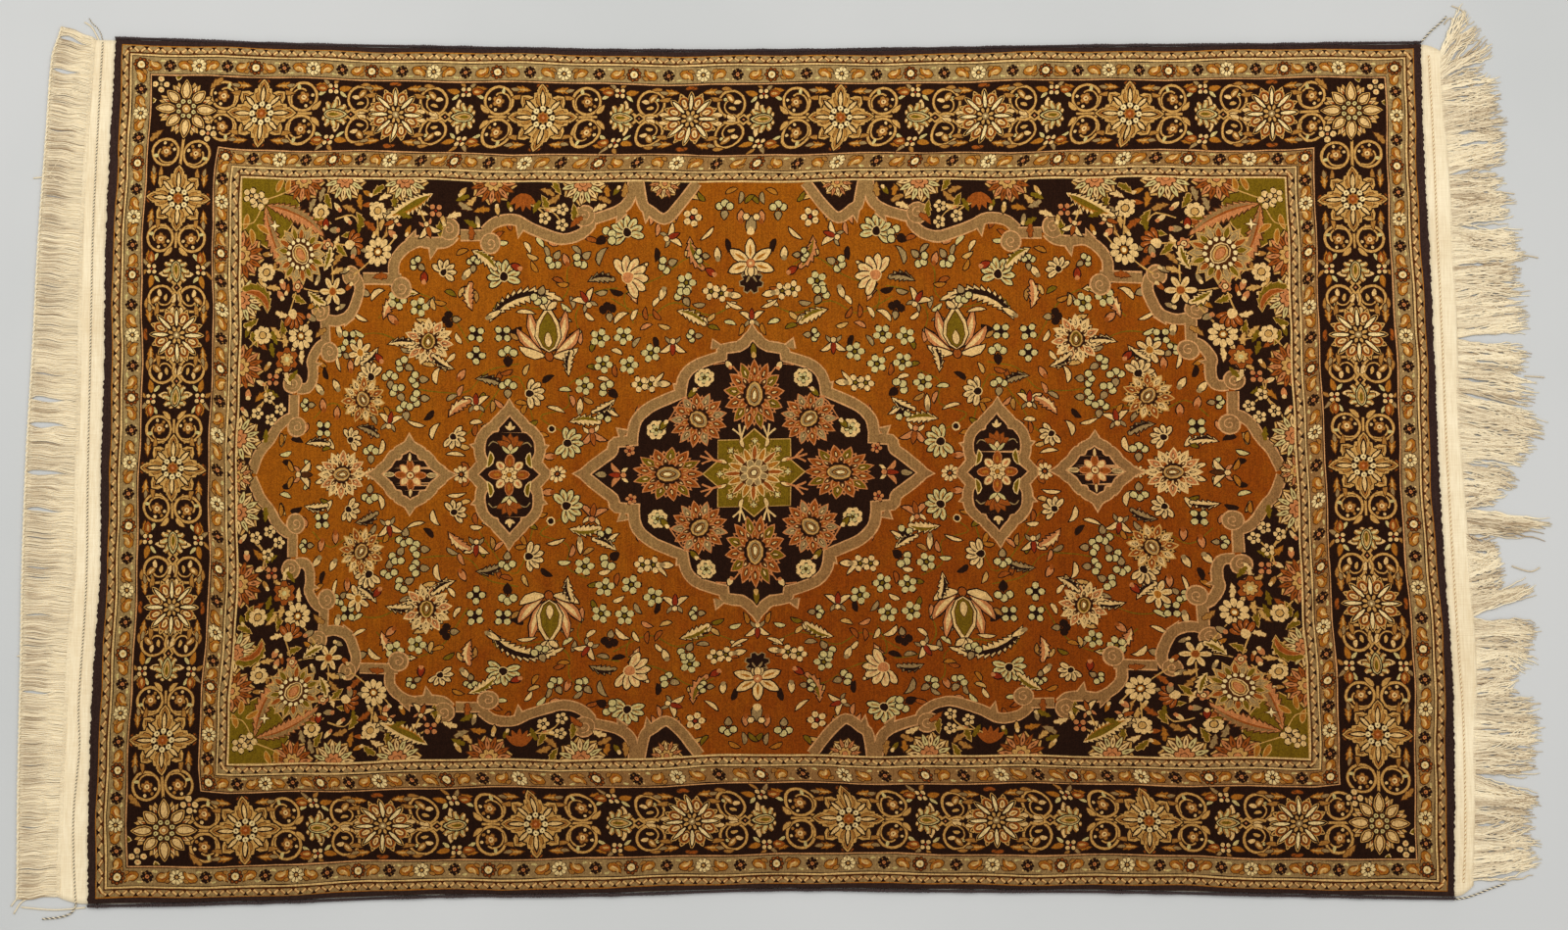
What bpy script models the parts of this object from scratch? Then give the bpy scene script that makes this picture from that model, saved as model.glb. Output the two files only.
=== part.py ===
"""Persian rug, lying flat: pile and woven ends, overcast sides, fringes and loose cord ends.

Metres, +Z up, +X along the length. The origin is on the floor, under the middle of
the box around the rug and its two fringes.
"""
import math

import bmesh
import bpy

MM = 0.001

# Driving sizes, in metres
PILE_LENGTH = 1.880          # knotted area, end to end
PILE_WIDTH = 1.230           # knotted area with both overcast sides
PILE_HEIGHT = 0.006          # knotted cloth, back to pile tips
WEAVE_THICKNESS = 0.002      # flat-woven ends
SELVEDGE_DIAMETER = 0.0055   # overcast cord along each long side
FRINGE_THICKNESS = 0.002
SPINE_DEPTH = 0.005          # strip of fringe before its strands part
FRINGE_PITCH = 0.018         # one comb tooth stands for a few strands
TOOTH_SHARE = 0.38           # half width of a tooth at its root, as a share of the pitch
LEFT_TIP = 0.0050            # half width of a tooth at its tip, in the even fringe
RIGHT_TIP = 0.0024           # the same in the fringe that falls in locks
GAP = 0.0003                 # between pieces that touch

# Where the flat weave starts and bends, as shares of its depth
WEAVE_STATIONS = (0.02, 0.5, 1.0)
LENGTH_SEGMENTS = 16
WIDTH_SEGMENTS = 12

# How far the long edges are drawn in, in mm, at shares of the half length
SIDES = {
    "columns": ("share", "far", "near"),
    "rows": (
        (-1.00, 0.0, 0.0),
        (-0.75, 7.5, 3.5),
        (-0.50, 11.5, 10.3),
        (-0.25, 15.3, 11.2),
        (0.00, 14.8, 17.0),
        (0.25, 11.0, 14.0),
        (0.50, 6.2, 11.6),
        (0.75, 3.8, 5.5),
        (1.00, 0.0, 0.0),
    ),
}

# At shares of the half width: how far each end of the pile stands to the right of a
# straight line, and how deep its flat-woven end is, in mm
ENDS = {
    "columns": ("share", "left", "left_weave", "right", "right_weave"),
    "rows": (
        (-1.00, 0.0, 44.0, 0.0, 27.0),
        (-0.75, -4.0, 39.0, 6.0, 30.0),
        (-0.50, -3.2, 38.0, 9.6, 34.0),
        (-0.25, 2.0, 39.0, 4.8, 37.0),
        (0.00, -1.2, 36.5, 2.0, 34.0),
        (0.25, -1.8, 37.5, 2.0, 34.0),
        (0.50, -5.0, 37.0, 1.0, 36.0),
        (0.75, -3.0, 36.5, -1.2, 34.0),
        (1.00, 0.0, 34.0, 0.0, 31.0),
    ),
}

# How far the outer corners of the flat weave are tucked in towards the middle, in mm
TUCKS = {("left", "far"): -1.0, ("left", "near"): 11.0, ("right", "far"): 11.0, ("right", "near"): 15.0}

# Left fringe: reach past the weave and rise towards the far side, in mm
LEFT_FRINGE = {
    "columns": ("share", "reach", "rise"),
    "rows": (
        (-1.00, 52.0, -4.0),
        (-0.75, 57.0, 0.0),
        (-0.50, 61.0, 3.0),
        (-0.25, 68.0, 5.0),
        (0.00, 67.0, 6.0),
        (0.25, 62.0, 7.0),
        (0.50, 57.0, 8.0),
        (0.75, 54.0, 10.0),
        (0.94, 54.0, 12.0),
        (1.00, 43.0, 19.0),
    ),
}

# Right fringe, lock by lock from the far side, in mm from the pile's centre: the
# roots it grows from, then the tips of its first and last strands
LOCK_COLUMNS = ("root_first", "root_last", "first_x", "first_y", "last_x", "last_y", "bow")
RIGHT_LOCKS = (
    (597, 545, 1003, 668, 1043, 578, 14),
    (545, 414, 1055, 551, 1063, 433, 4),
    (414, 342, 1057, 411, 1070, 358, 0),
    (342, 241, 1076, 331, 1083, 262, 4),
    (241, 177, 1070, 243, 1084, 190, 4),
    (177, 99, 1079, 160, 1088, 85, 6),
    (99, 0, 1099, 60, 1080, 8, 4),
    (0, -70, 1067, -18, 1022, -58, 0),
    (-70, -104, 1100, -82, 1080, -104, 2),
    (-104, -195, 1020, -120, 1038, -174, 0),
    (-195, -222, 1077, -170, 1077, -178, 0),
    (-222, -291, 1084, -241, 1065, -284, 4),
    (-291, -339, 1046, -297, 1044, -324, 0),
    (-339, -441, 1073, -343, 1073, -430, 3),
    (-441, -522, 1069, -474, 1060, -502, 0),
    (-522, -588, 1062, -524, 1064, -577, 0),
)

# Loose cord ends at the corners: diameter, and the route on the floor in mm from the
# pile's centre, starting at the weave
CORDS = {
    "cord_far_left": (1.4, ((-959, 610.2), (-961.5, 619), (-967, 628), (-974, 634.5), (-979, 642))),
    "cord_far_right": (2.6, ((941.3, 613), (948, 621), (958, 631.5), (969, 641), (980, 652))),
    "cord_near_right": (2.6, ((940.5, -613), (956, -611), (973, -605.5), (992, -598.5), (1012, -592))),
    "cord_near_left": (2.6, ((-956, -608.2), (-958.5, -617), (-966, -623.5), (-981, -627.5), (-1001, -629))),
}
CORD_STEP = 2.6              # diameters between the points of a cord's tube

COLOURS = {
    "pile": (0.26, 0.10, 0.03),
    "selvedge": (0.03, 0.02, 0.02),
    "fringe": (0.70, 0.56, 0.38),
    "cord": (0.20, 0.16, 0.13),
}


def mix(start, end, share):
    return start + (end - start) * share


def through(before, start, end, after, share):
    """A smooth curve from start to end that heads the way its neighbours do."""
    return start + 0.5 * share * (
        end - before + share * (2 * before - 5 * start + 4 * end - after + share * (3 * (start - end) + after - before))
    )


def read(table, name, share):
    """A named column at any share along its side, in metres."""
    column = table["columns"].index(name)
    rows = table["rows"]
    at = 0
    while at < len(rows) - 2 and share > rows[at + 1][0]:
        at += 1
    values = [rows[min(max(at + step, 0), len(rows) - 1)][column] for step in (-1, 0, 1, 2)]
    part = (share - rows[at][0]) / (rows[at + 1][0] - rows[at][0])
    return through(*values, part) * MM


def pile_point(length_share, width_share):
    """A point of the knotted cloth; the shares run from -1 to 1 between its edges."""
    left = -PILE_LENGTH / 2 + read(ENDS, "left", width_share)
    right = PILE_LENGTH / 2 + read(ENDS, "right", width_share)
    half = PILE_WIDTH / 2 - SELVEDGE_DIAMETER - GAP
    far = half - read(SIDES, "far", length_share)
    near = -half + read(SIDES, "near", length_share)
    return mix(left, right, (length_share + 1) / 2), mix(near, far, (width_share + 1) / 2)


def weave_point(end, depth_share, width_share):
    """A point of a flat-woven end, from the pile (0) out to the fringe (1)."""
    side = -1 if end == "left" else 1
    x, y = pile_point(side, width_share)
    far_share = ((1 + width_share) / 2) ** WIDTH_SEGMENTS
    near_share = ((1 - width_share) / 2) ** WIDTH_SEGMENTS
    tuck = TUCKS[end, "near"] * near_share - TUCKS[end, "far"] * far_share
    return x + side * depth_share * read(ENDS, end + "_weave", width_share), y + tuck * depth_share ** 2 * MM


def shares(segments):
    return [-1 + 2 * step / segments for step in range(segments + 1)]


def plain_material(name, colour, roughness=0.9):
    material = bpy.data.materials.new(name)
    material.use_nodes = True
    shader = material.node_tree.nodes["Principled BSDF"]
    shader.inputs["Base Color"].default_value = (*colour, 1.0)
    shader.inputs["Roughness"].default_value = roughness
    shader.inputs["Metallic"].default_value = 0.0
    return material


def add_object(name, data, colour_name):
    part = bpy.data.objects.new(name, data)
    data.materials.append(plain_material(name, COLOURS[colour_name]))
    bpy.data.collections["persian_rug"].objects.link(part)
    return part


def make_cloth():
    """Pile and both flat-woven ends, one cloth: a raised grid with thinner end columns."""
    columns = [("left", depth) for depth in reversed(WEAVE_STATIONS)]
    columns += [("pile", share) for share in shares(LENGTH_SEGMENTS)]
    columns += [("right", depth) for depth in WEAVE_STATIONS]
    last = len(columns) - 1
    mesh = bpy.data.meshes.new("rug")
    bm = bmesh.new()
    bmesh.ops.create_grid(bm, x_segments=last, y_segments=WIDTH_SEGMENTS, size=1.0)
    raised = bmesh.ops.extrude_face_region(bm, geom=bm.faces[:])["geom"]
    tops = {vert for vert in raised if isinstance(vert, bmesh.types.BMVert)}
    for vert in bm.verts:
        zone, share = columns[round((vert.co.x + 1) / 2 * last)]
        if zone == "pile":
            x, y = pile_point(share, vert.co.y)
            height = PILE_HEIGHT
        else:
            x, y = weave_point(zone, share, vert.co.y)
            height = WEAVE_THICKNESS
        vert.co = (x, y, height if vert in tops else 0.0)
    bmesh.ops.recalc_face_normals(bm, faces=bm.faces[:])
    bm.to_mesh(mesh)
    bm.free()
    return add_object("rug", mesh, "pile")


def make_tube(name, points, diameter, colour_name):
    """A round cord along points on the floor, with closed ends."""
    curve = bpy.data.curves.new(name, "CURVE")
    curve.dimensions = "3D"
    curve.bevel_depth = diameter / 2
    curve.bevel_resolution = 2
    curve.use_fill_caps = True
    spline = curve.splines.new("POLY")
    spline.points.add(len(points) - 1)
    for control, (x, y) in zip(spline.points, points):
        control.co = (x, y, diameter / 2, 1.0)
    return add_object(name, curve, colour_name)


def make_selvedge(side):
    """The overcast cord along one long side, beside the cloth's edge."""
    sign = 1 if side == "far" else -1
    reach = SELVEDGE_DIAMETER / 2 + GAP
    points = [pile_point(share, sign) for share in shares(LENGTH_SEGMENTS)]
    points = [(x, y + sign * reach) for x, y in points]
    return make_tube("selvedge_" + side, points, SELVEDGE_DIAMETER, "selvedge")


def make_comb(name, end, teeth, tip):
    """A flat fringe: a spine along the weave's edge, and one tooth from each root to its tip."""
    side = -1 if end == "left" else 1
    edge = [weave_point(end, 1.0, share) for share in shares(WIDTH_SEGMENTS)]
    inner = [(x + side * GAP, y) for x, y in edge]

    def spine_x(y):
        for (x0, y0), (x1, y1) in zip(inner, inner[1:]):
            if y <= y1:
                break
        return mix(x0, x1, (y - y0) / (y1 - y0)) + side * SPINE_DEPTH

    outline = list(inner)
    for root_y, half_width, tip_x, tip_y in sorted(teeth, reverse=True):
        outline.append((spine_x(root_y + half_width), root_y + half_width))
        outline.append((tip_x, tip_y + tip))
        outline.append((tip_x, tip_y - tip))
        outline.append((spine_x(root_y - half_width), root_y - half_width))
    curve = bpy.data.curves.new(name, "CURVE")
    curve.dimensions = "2D"
    curve.fill_mode = "BOTH"
    curve.extrude = FRINGE_THICKNESS / 2
    spline = curve.splines.new("POLY")
    spline.points.add(len(outline) - 1)
    for control, (x, y) in zip(spline.points, outline):
        control.co = (x, y, 0.0, 1.0)
    spline.use_cyclic_u = True
    comb = add_object(name, curve, "fringe")
    comb.location.z = FRINGE_THICKNESS / 2
    return comb


def left_teeth():
    """Strands of the left fringe, side by side with an even reach."""
    bottom = weave_point("left", 1.0, -1)[1]
    top = weave_point("left", 1.0, 1)[1]
    count = round((top - bottom) / FRINGE_PITCH)
    pitch = (top - bottom) / count
    teeth = []
    for tooth in range(count):
        share = -1 + (2 * tooth + 1) / count
        root_x = weave_point("left", 1.0, share)[0]
        root_y = bottom + (tooth + 0.5) * pitch
        tip_x = root_x - read(LEFT_FRINGE, "reach", share)
        tip_y = root_y + read(LEFT_FRINGE, "rise", share)
        teeth.append((root_y, TOOTH_SHARE * pitch, tip_x, tip_y))
    return teeth


def right_teeth():
    """Strands of the right fringe, which fall together in locks."""
    teeth = []
    for row in RIGHT_LOCKS:
        lock = {name: value * MM for name, value in zip(LOCK_COLUMNS, row)}
        depth = lock["root_first"] - lock["root_last"]
        count = max(1, round(depth / FRINGE_PITCH))
        for tooth in range(count):
            share = (tooth + 0.5) / count
            tip_share = tooth / (count - 1) if count > 1 else 0.5
            bow = lock["bow"] * math.sin(math.pi * tip_share)
            tip_x = mix(lock["first_x"], lock["last_x"], tip_share) + bow
            tip_y = mix(lock["first_y"], lock["last_y"], tip_share)
            root_y = mix(lock["root_first"], lock["root_last"], share)
            teeth.append((root_y, TOOTH_SHARE * depth / count, tip_x, tip_y))
    return teeth


def cord_points(route, diameter):
    """Even steps along a smooth curve through a cord's route."""
    dense = []
    for at in range(len(route) - 1):
        around = [route[min(max(at + step, 0), len(route) - 1)] for step in (-1, 0, 1, 2)]
        for part in range(10):
            dense.append(tuple(through(*axis, part / 10) for axis in zip(*around)))
    dense.append(route[-1])
    lengths = [0.0]
    for start, end in zip(dense, dense[1:]):
        lengths.append(lengths[-1] + math.dist(start, end))
    count = max(4, round(lengths[-1] / (CORD_STEP * diameter)))
    points = []
    for step in range(count + 1):
        target = lengths[-1] * step / count
        at = min(max(index for index, value in enumerate(lengths) if value <= target + 1e-9), len(dense) - 2)
        share = (target - lengths[at]) / (lengths[at + 1] - lengths[at])
        points.append(tuple(mix(start, end, share) * MM for start, end in zip(dense[at], dense[at + 1])))
    return points


def centre_on_box(parts, counted):
    """Moves everything so that the counted pieces' box stands centred over the origin."""
    bpy.context.view_layer.update()
    corners = []
    for part in counted:
        corners += [part.matrix_world @ vert.co for vert in part.evaluated_get(
            bpy.context.evaluated_depsgraph_get()).to_mesh().vertices]
    for axis in (0, 1):
        values = [corner[axis] for corner in corners]
        middle = (min(values) + max(values)) / 2
        for part in parts:
            part.location[axis] -= middle


def main():
    for old in list(bpy.data.objects):
        bpy.data.objects.remove(old, do_unlink=True)
    collection = bpy.data.collections.new("persian_rug")
    bpy.context.scene.collection.children.link(collection)
    rug = [make_cloth(), make_selvedge("far"), make_selvedge("near")]
    rug.append(make_comb("fringe_left", "left", left_teeth(), LEFT_TIP))
    rug.append(make_comb("fringe_right", "right", right_teeth(), RIGHT_TIP))
    cords = []
    for name, (diameter, route) in CORDS.items():
        cords.append(make_tube(name, cord_points(route, diameter), diameter * MM, "cord"))
    centre_on_box(rug + cords, rug)


main()
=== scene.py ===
# %% [markdown]
# # A Persian rug
#
# The real rug is one cloth, knotted row by row: a cotton ground weave, wool knots tied
# round its warps, a flat-woven strip at each end, dark overcast cords along the sides,
# and the loose warp ends as fringes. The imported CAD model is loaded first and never
# moved. Everything below is drawn onto it or laid in its place.

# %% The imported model
import cmath
import math
import random

import bmesh
import bpy
import numpy as np
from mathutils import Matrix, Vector
from mathutils.bvhtree import BVHTree
from mathutils.geometry import delaunay_2d_cdt, tessellate_polygon


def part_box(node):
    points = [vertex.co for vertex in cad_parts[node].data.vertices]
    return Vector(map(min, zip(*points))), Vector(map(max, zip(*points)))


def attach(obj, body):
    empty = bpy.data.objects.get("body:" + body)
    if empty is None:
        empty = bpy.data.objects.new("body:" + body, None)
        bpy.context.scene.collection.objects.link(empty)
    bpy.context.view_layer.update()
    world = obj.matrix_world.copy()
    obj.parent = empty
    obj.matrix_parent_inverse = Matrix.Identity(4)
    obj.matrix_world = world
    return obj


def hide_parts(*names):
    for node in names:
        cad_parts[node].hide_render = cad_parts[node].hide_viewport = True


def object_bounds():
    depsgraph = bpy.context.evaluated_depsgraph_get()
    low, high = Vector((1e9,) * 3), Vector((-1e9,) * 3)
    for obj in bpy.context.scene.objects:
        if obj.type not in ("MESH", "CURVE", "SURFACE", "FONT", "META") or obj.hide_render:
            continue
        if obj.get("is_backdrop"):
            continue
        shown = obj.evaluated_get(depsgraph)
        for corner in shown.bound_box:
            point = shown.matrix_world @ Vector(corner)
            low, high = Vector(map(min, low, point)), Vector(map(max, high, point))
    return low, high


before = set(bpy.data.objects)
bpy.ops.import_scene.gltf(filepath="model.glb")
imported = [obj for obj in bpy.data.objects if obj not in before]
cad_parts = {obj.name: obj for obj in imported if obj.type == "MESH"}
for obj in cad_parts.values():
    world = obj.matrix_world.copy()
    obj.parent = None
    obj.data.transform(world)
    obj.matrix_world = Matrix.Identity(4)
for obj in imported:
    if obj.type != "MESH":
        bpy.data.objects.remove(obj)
cad_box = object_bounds()
MM = 0.001
print("nodes:", ", ".join(sorted(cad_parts)))

# %% [markdown]
# ## Sizes and edges
#
# A hand-knotted rug is never a true rectangle: its sides are drawn in where the weaver
# pulled the weft tight. Short tables say how far each edge stands in or out at shares of
# its length, and a smooth curve reads between the rows. The CAD source uses them too.

# %% Sizes and edge tables
PILE_LENGTH = 1880.0
PILE_WIDTH = 1230.0
SELVEDGE = 5.5
GAP = 0.3
BACK = 2.0       # thickness of the ground weave, in mm
PILE_TOP = 6.0

SIDES = {
    "columns": ("share", "far", "near"),
    "rows": (
        (-1.00, 0.0, 0.0), (-0.75, 7.5, 3.5), (-0.50, 11.5, 10.3), (-0.25, 15.3, 11.2), (0.00, 14.8, 17.0),
        (0.25, 11.0, 14.0), (0.50, 6.2, 11.6), (0.75, 3.8, 5.5), (1.00, 0.0, 0.0),
    ),
}
ENDS = {
    "columns": ("share", "left", "left_weave", "right", "right_weave"),
    "rows": (
        (-1.00, 0.0, 44.0, 0.0, 27.0), (-0.75, -4.0, 39.0, 6.0, 30.0), (-0.50, -3.2, 38.0, 9.6, 34.0),
        (-0.25, 2.0, 39.0, 4.8, 37.0), (0.00, -1.2, 36.5, 2.0, 34.0), (0.25, -1.8, 37.5, 2.0, 34.0),
        (0.50, -5.0, 37.0, 1.0, 36.0), (0.75, -3.0, 36.5, -1.2, 34.0), (1.00, 0.0, 34.0, 0.0, 31.0),
    ),
}


def mix(start, end, share):
    return start + (end - start) * share


def ease(low, high, value):
    share = min(1.0, max(0.0, (value - low) / (high - low)))
    return share * share * (3 - 2 * share)


def through(before, start, end, after, share):
    """A smooth curve from start to end that heads the way its neighbours do."""
    bend = 2 * before - 5 * start + 4 * end - after
    twist = 3 * (start - end) + after - before
    return start + 0.5 * share * (end - before + share * (bend + share * twist))


def read(table, name, share):
    """A named column at any share along its side, in mm."""
    column = table["columns"].index(name)
    rows = table["rows"]
    at = 0
    while at < len(rows) - 2 and share > rows[at + 1][0]:
        at += 1
    near = [rows[min(max(at + step, 0), len(rows) - 1)][column] for step in (-1, 0, 1, 2)]
    return through(*near, (share - rows[at][0]) / (rows[at + 1][0] - rows[at][0]))


def pile_point(along, across):
    """A point of the knotted cloth, in mm from its middle; the shares run from -1 to 1."""
    left = read(ENDS, "left", across) - PILE_LENGTH / 2
    right = read(ENDS, "right", across) + PILE_LENGTH / 2
    half = PILE_WIDTH / 2 - SELVEDGE - GAP
    far = half - read(SIDES, "far", along)
    near = -half + read(SIDES, "near", along)
    return mix(left, right, (along + 1) / 2), mix(near, far, (across + 1) / 2)


# The pile's own middle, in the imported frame
selvedge_low, selvedge_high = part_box("selvedge_far")
rug_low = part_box("rug")[0]
MIDDLE_X = (selvedge_low[0] + selvedge_high[0]) / 2
MIDDLE_Y = rug_low[1] + (PILE_WIDTH / 2 - SELVEDGE - GAP) * MM
print("pile middle:", round(MIDDLE_X, 4), round(MIDDLE_Y, 4))

# %% [markdown]
# ## Camera, light and floor
#
# The photograph looks almost straight down at the rug. The camera's place and lens come
# from fitting a flat 1.88 by 1.23 m rectangle to the pile's four corners in the frame.
# Soft studio light is three wide, pale area lamps, which leave only faint shadows.

# %% Camera, lamps and floor
camera = bpy.data.objects.new("camera", bpy.data.cameras.new("camera"))
bpy.context.scene.collection.objects.link(camera)
camera.data.lens = 58.5
camera.data.sensor_width = 36.0
camera.data.dof.use_dof = False
camera.location = (MIDDLE_X - 0.0810, MIDDLE_Y - 0.4967, 3.5533)
camera.rotation_euler = [math.radians(turn) for turn in (7.8845, -1.4923, -0.2651)]
bpy.context.scene.camera = camera
bpy.context.scene.view_settings.view_transform = "Standard"

LAMPS = (
    # name, place, size, power
    ("lamp_left", (-2.0, 1.1, 3.0), 2.4, 50.0),
    ("lamp_right", (2.0, 1.0, 3.1), 2.4, 44.0),
    ("lamp_front", (0.2, -2.6, 2.6), 2.6, 14.0),
)
for name, place, size, power in LAMPS:
    lamp = bpy.data.objects.new(name, bpy.data.lights.new(name, "AREA"))
    lamp.data.size = size
    lamp.data.energy = power
    lamp.location = place
    lamp.rotation_euler = (-Vector(place)).to_track_quat("-Z", "Y").to_euler()
    bpy.context.scene.collection.objects.link(lamp)

world = bpy.data.worlds.new("studio")
world.use_nodes = True
world.node_tree.nodes["Background"].inputs["Color"].default_value = (0.99, 0.99, 1.0, 1.0)
world.node_tree.nodes["Background"].inputs["Strength"].default_value = 0.55
bpy.context.scene.world = world
print("camera", [round(v, 3) for v in camera.location])

# %% [markdown]
# ## A small language for shader nodes
#
# A material is a network of nodes, and its sums read better as Python sums. The Socket
# class wraps one output, so that `tone * 0.3` adds its own Math node, and Finish.node
# adds any other kind of node from its type, settings and inputs.


# %% Sockets and finishes
class Socket:
    """One output of a node, which can be used in sums."""

    def __init__(self, finish, plug):
        self.finish, self.plug = finish, plug

    def sum(self, operation, other):
        return self.finish.node("ShaderNodeMath", {"operation": operation}, {0: self, 1: other})

    def __add__(self, other):
        return self.sum("ADD", other)

    def __sub__(self, other):
        return self.sum("SUBTRACT", other)

    def __mul__(self, other):
        return self.sum("MULTIPLY", other)


class Finish:
    """A material under construction. Its constants go straight to the shader's own sockets."""

    def __init__(self, name, **constants):
        self.material = bpy.data.materials.new(name)
        self.material.use_nodes = True
        self.tree = self.material.node_tree
        self.shader = self.tree.nodes["Principled BSDF"]
        for socket, value in constants.items():
            self.shader.inputs[socket.replace("_", " ")].default_value = value

    def set(self, plug, value):
        if isinstance(value, Socket):
            self.tree.links.new(value.plug, plug)
        else:
            if hasattr(value, "__len__"):
                value = (*value, 1.0)[:len(plug.default_value)]
            plug.default_value = value

    def node(self, kind, settings=None, inputs=None, output=0):
        made = self.tree.nodes.new(kind)
        for name, value in (settings or {}).items():
            setattr(made, name, value)
        for name, value in (inputs or {}).items():
            self.set(made.inputs[name], value)
        return Socket(self, made.outputs[output])

    def place(self):
        return self.node("ShaderNodeTexCoord", output="Object")

    def noise(self, scale, stretch=(1, 1, 1), detail=2.0, roughness=0.5):
        """Noise on Object coordinates, which are first scaled along each axis."""
        spot = self.node("ShaderNodeMapping", {}, {"Vector": self.place(), "Scale": stretch})
        inputs = {"Vector": spot, "Scale": scale, "Detail": detail, "Roughness": roughness}
        return self.node("ShaderNodeTexNoise", {}, inputs)

    def ramp(self, value, low, high):
        """0 below low, 1 above high."""
        inputs = {"Value": value, "From Min": low, "From Max": high}
        return self.node("ShaderNodeMapRange", {"interpolation_type": "SMOOTHSTEP"}, inputs)

    def blend(self, share, first, second, how="MIX"):
        """Two colours mixed. The colour sockets of a Mix node are the seventh and eighth."""
        settings = {"data_type": "RGBA", "blend_type": how}
        return self.node("ShaderNodeMix", settings, {0: share, 6: first, 7: second}, output=2)

    def colour(self, value):
        self.set(self.shader.inputs["Base Color"], value)

    def bump(self, height, distance, strength):
        inputs = {"Height": height, "Distance": distance, "Strength": strength}
        self.set(self.shader.inputs["Normal"], self.node("ShaderNodeBump", {}, inputs))


def linear(colour):
    """A colour given in 0 to 255 steps, as light values."""
    steps = [value / 255 for value in colour]
    return tuple(v / 12.92 if v < 0.04045 else ((v + 0.055) / 1.055) ** 2.4 for v in steps)


floor_finish = Finish("pale_floor", Roughness=0.85)
floor_tone = floor_finish.ramp(floor_finish.noise(1.3, detail=4.0), 0.3, 0.7)
floor_finish.colour(floor_finish.blend(floor_tone, linear((194, 195, 192)), linear((202, 202, 199))))
floor_mesh = bpy.data.meshes.new("floor")
bm = bmesh.new()
bmesh.ops.create_grid(bm, x_segments=1, y_segments=1, size=6.0)
bmesh.ops.translate(bm, verts=bm.verts, vec=(0, 0, -0.0004))
bm.to_mesh(floor_mesh)
bm.free()
floor_mesh.materials.append(floor_finish.material)
floor = bpy.data.objects.new("floor", floor_mesh)
bpy.context.scene.collection.objects.link(floor)
floor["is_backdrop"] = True
print("lamps:", len(LAMPS))

# %% [markdown]
# ## Lines and pieces
#
# Lines are lists of complex numbers, x + y j, in mm from the rug's middle, because a
# turn or a mirror image is then one product. Every finished mesh goes through
# add_piece, which names it, gives it its finish and fixes it to the rug's body.


# %% Lines and pieces
def marks(pairs):
    """Pairs of mm as points."""
    return [complex(*pair) for pair in pairs]


def smooth(points, steps):
    """A smooth line through points."""
    run = [points[0], *points, points[-1]]
    line = [through(*run[n:n + 4], step / steps) for n in range(len(points) - 1) for step in range(steps)]
    return line + [points[-1]]


def evenly(line, step):
    """The line again, in equal steps of about that length."""
    reach = [0.0]
    for start, end in zip(line, line[1:]):
        reach.append(reach[-1] + abs(end - start))
    count = max(2, round(reach[-1] / step))
    at = 0
    spots = []
    for n in range(count + 1):
        target = reach[-1] * n / count
        while at < len(line) - 2 and reach[at + 1] < target:
            at += 1
        span = reach[at + 1] - reach[at]
        spots.append(mix(line[at], line[at + 1], (target - reach[at]) / span if span else 0.0))
    return spots


def to_frame(spot, height):
    """A spot in mm from the pile's middle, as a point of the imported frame."""
    return Vector((MIDDLE_X + spot.real * MM, MIDDLE_Y + spot.imag * MM, height * MM))


def add_piece(name, shape, finish, slot, *replaced):
    """Puts a finished mesh in the scene, riding on the rug."""
    mesh = shape
    if isinstance(shape, bmesh.types.BMesh):
        mesh = bpy.data.meshes.new(name)
        shape.to_mesh(mesh)
        shape.free()
    piece = bpy.data.objects.new(name, mesh)
    mesh.name = name
    mesh.materials.clear()
    mesh.materials.append(finish.material)
    bpy.context.scene.collection.objects.link(piece)
    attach(piece, "root")
    if replaced:
        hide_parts(*replaced)
    return piece


# %% [markdown]
# ## Yarns
#
# Fringe, overcasting and twined lines are all yarn, and a yarn is a line with a
# thickness. A curve with one open run for each yarn, rounded by its bevel, gives all of
# a piece's yarns at once. The curve is then made a mesh, and each yarn gets its tone.


# %% Yarn pieces
TURN_STEPS = 6               # points in one turn of a twined yarn


def yarns(name, strands, finish, slot, *replaced, sides=6):
    """A piece made of yarns: (points, radii in mm, tones from 0 to 1), or one radius or tone for all."""
    curve = bpy.data.curves.new(name, "CURVE")
    curve.dimensions = "3D"
    curve.bevel_depth = 1.0
    curve.bevel_resolution = (sides - 4) // 2
    tones = []
    for points, radii, tone in strands:
        run = curve.splines.new("POLY")
        run.points.add(len(points) - 1)
        run.points.foreach_set("co", [value for point in points for value in (*point, 1.0)])
        if not hasattr(radii, "__len__"):
            radii = [radii] * len(points)
        run.points.foreach_set("radius", [radius * MM for radius in radii])
        if not hasattr(tone, "__len__"):
            tone = [tone] * len(points)
        tones += [value for value in tone for _ in range(sides)]
    maker = bpy.data.objects.new(name, curve)
    mesh = bpy.data.meshes.new_from_object(maker)
    bpy.data.objects.remove(maker)
    attribute = mesh.attributes.new("yarn", "FLOAT", "POINT")
    attribute.data.foreach_set("value", tones)
    bm = bmesh.new()
    bm.from_mesh(mesh)
    bmesh.ops.holes_fill(bm, edges=[edge for edge in bm.edges if edge.is_boundary], sides=0)
    bm.to_mesh(mesh)
    bm.free()
    piece = add_piece(name, mesh, finish, slot, *replaced)
    print(name, "has", len(strands), "yarns and", len(mesh.polygons), "faces")
    return piece


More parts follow.
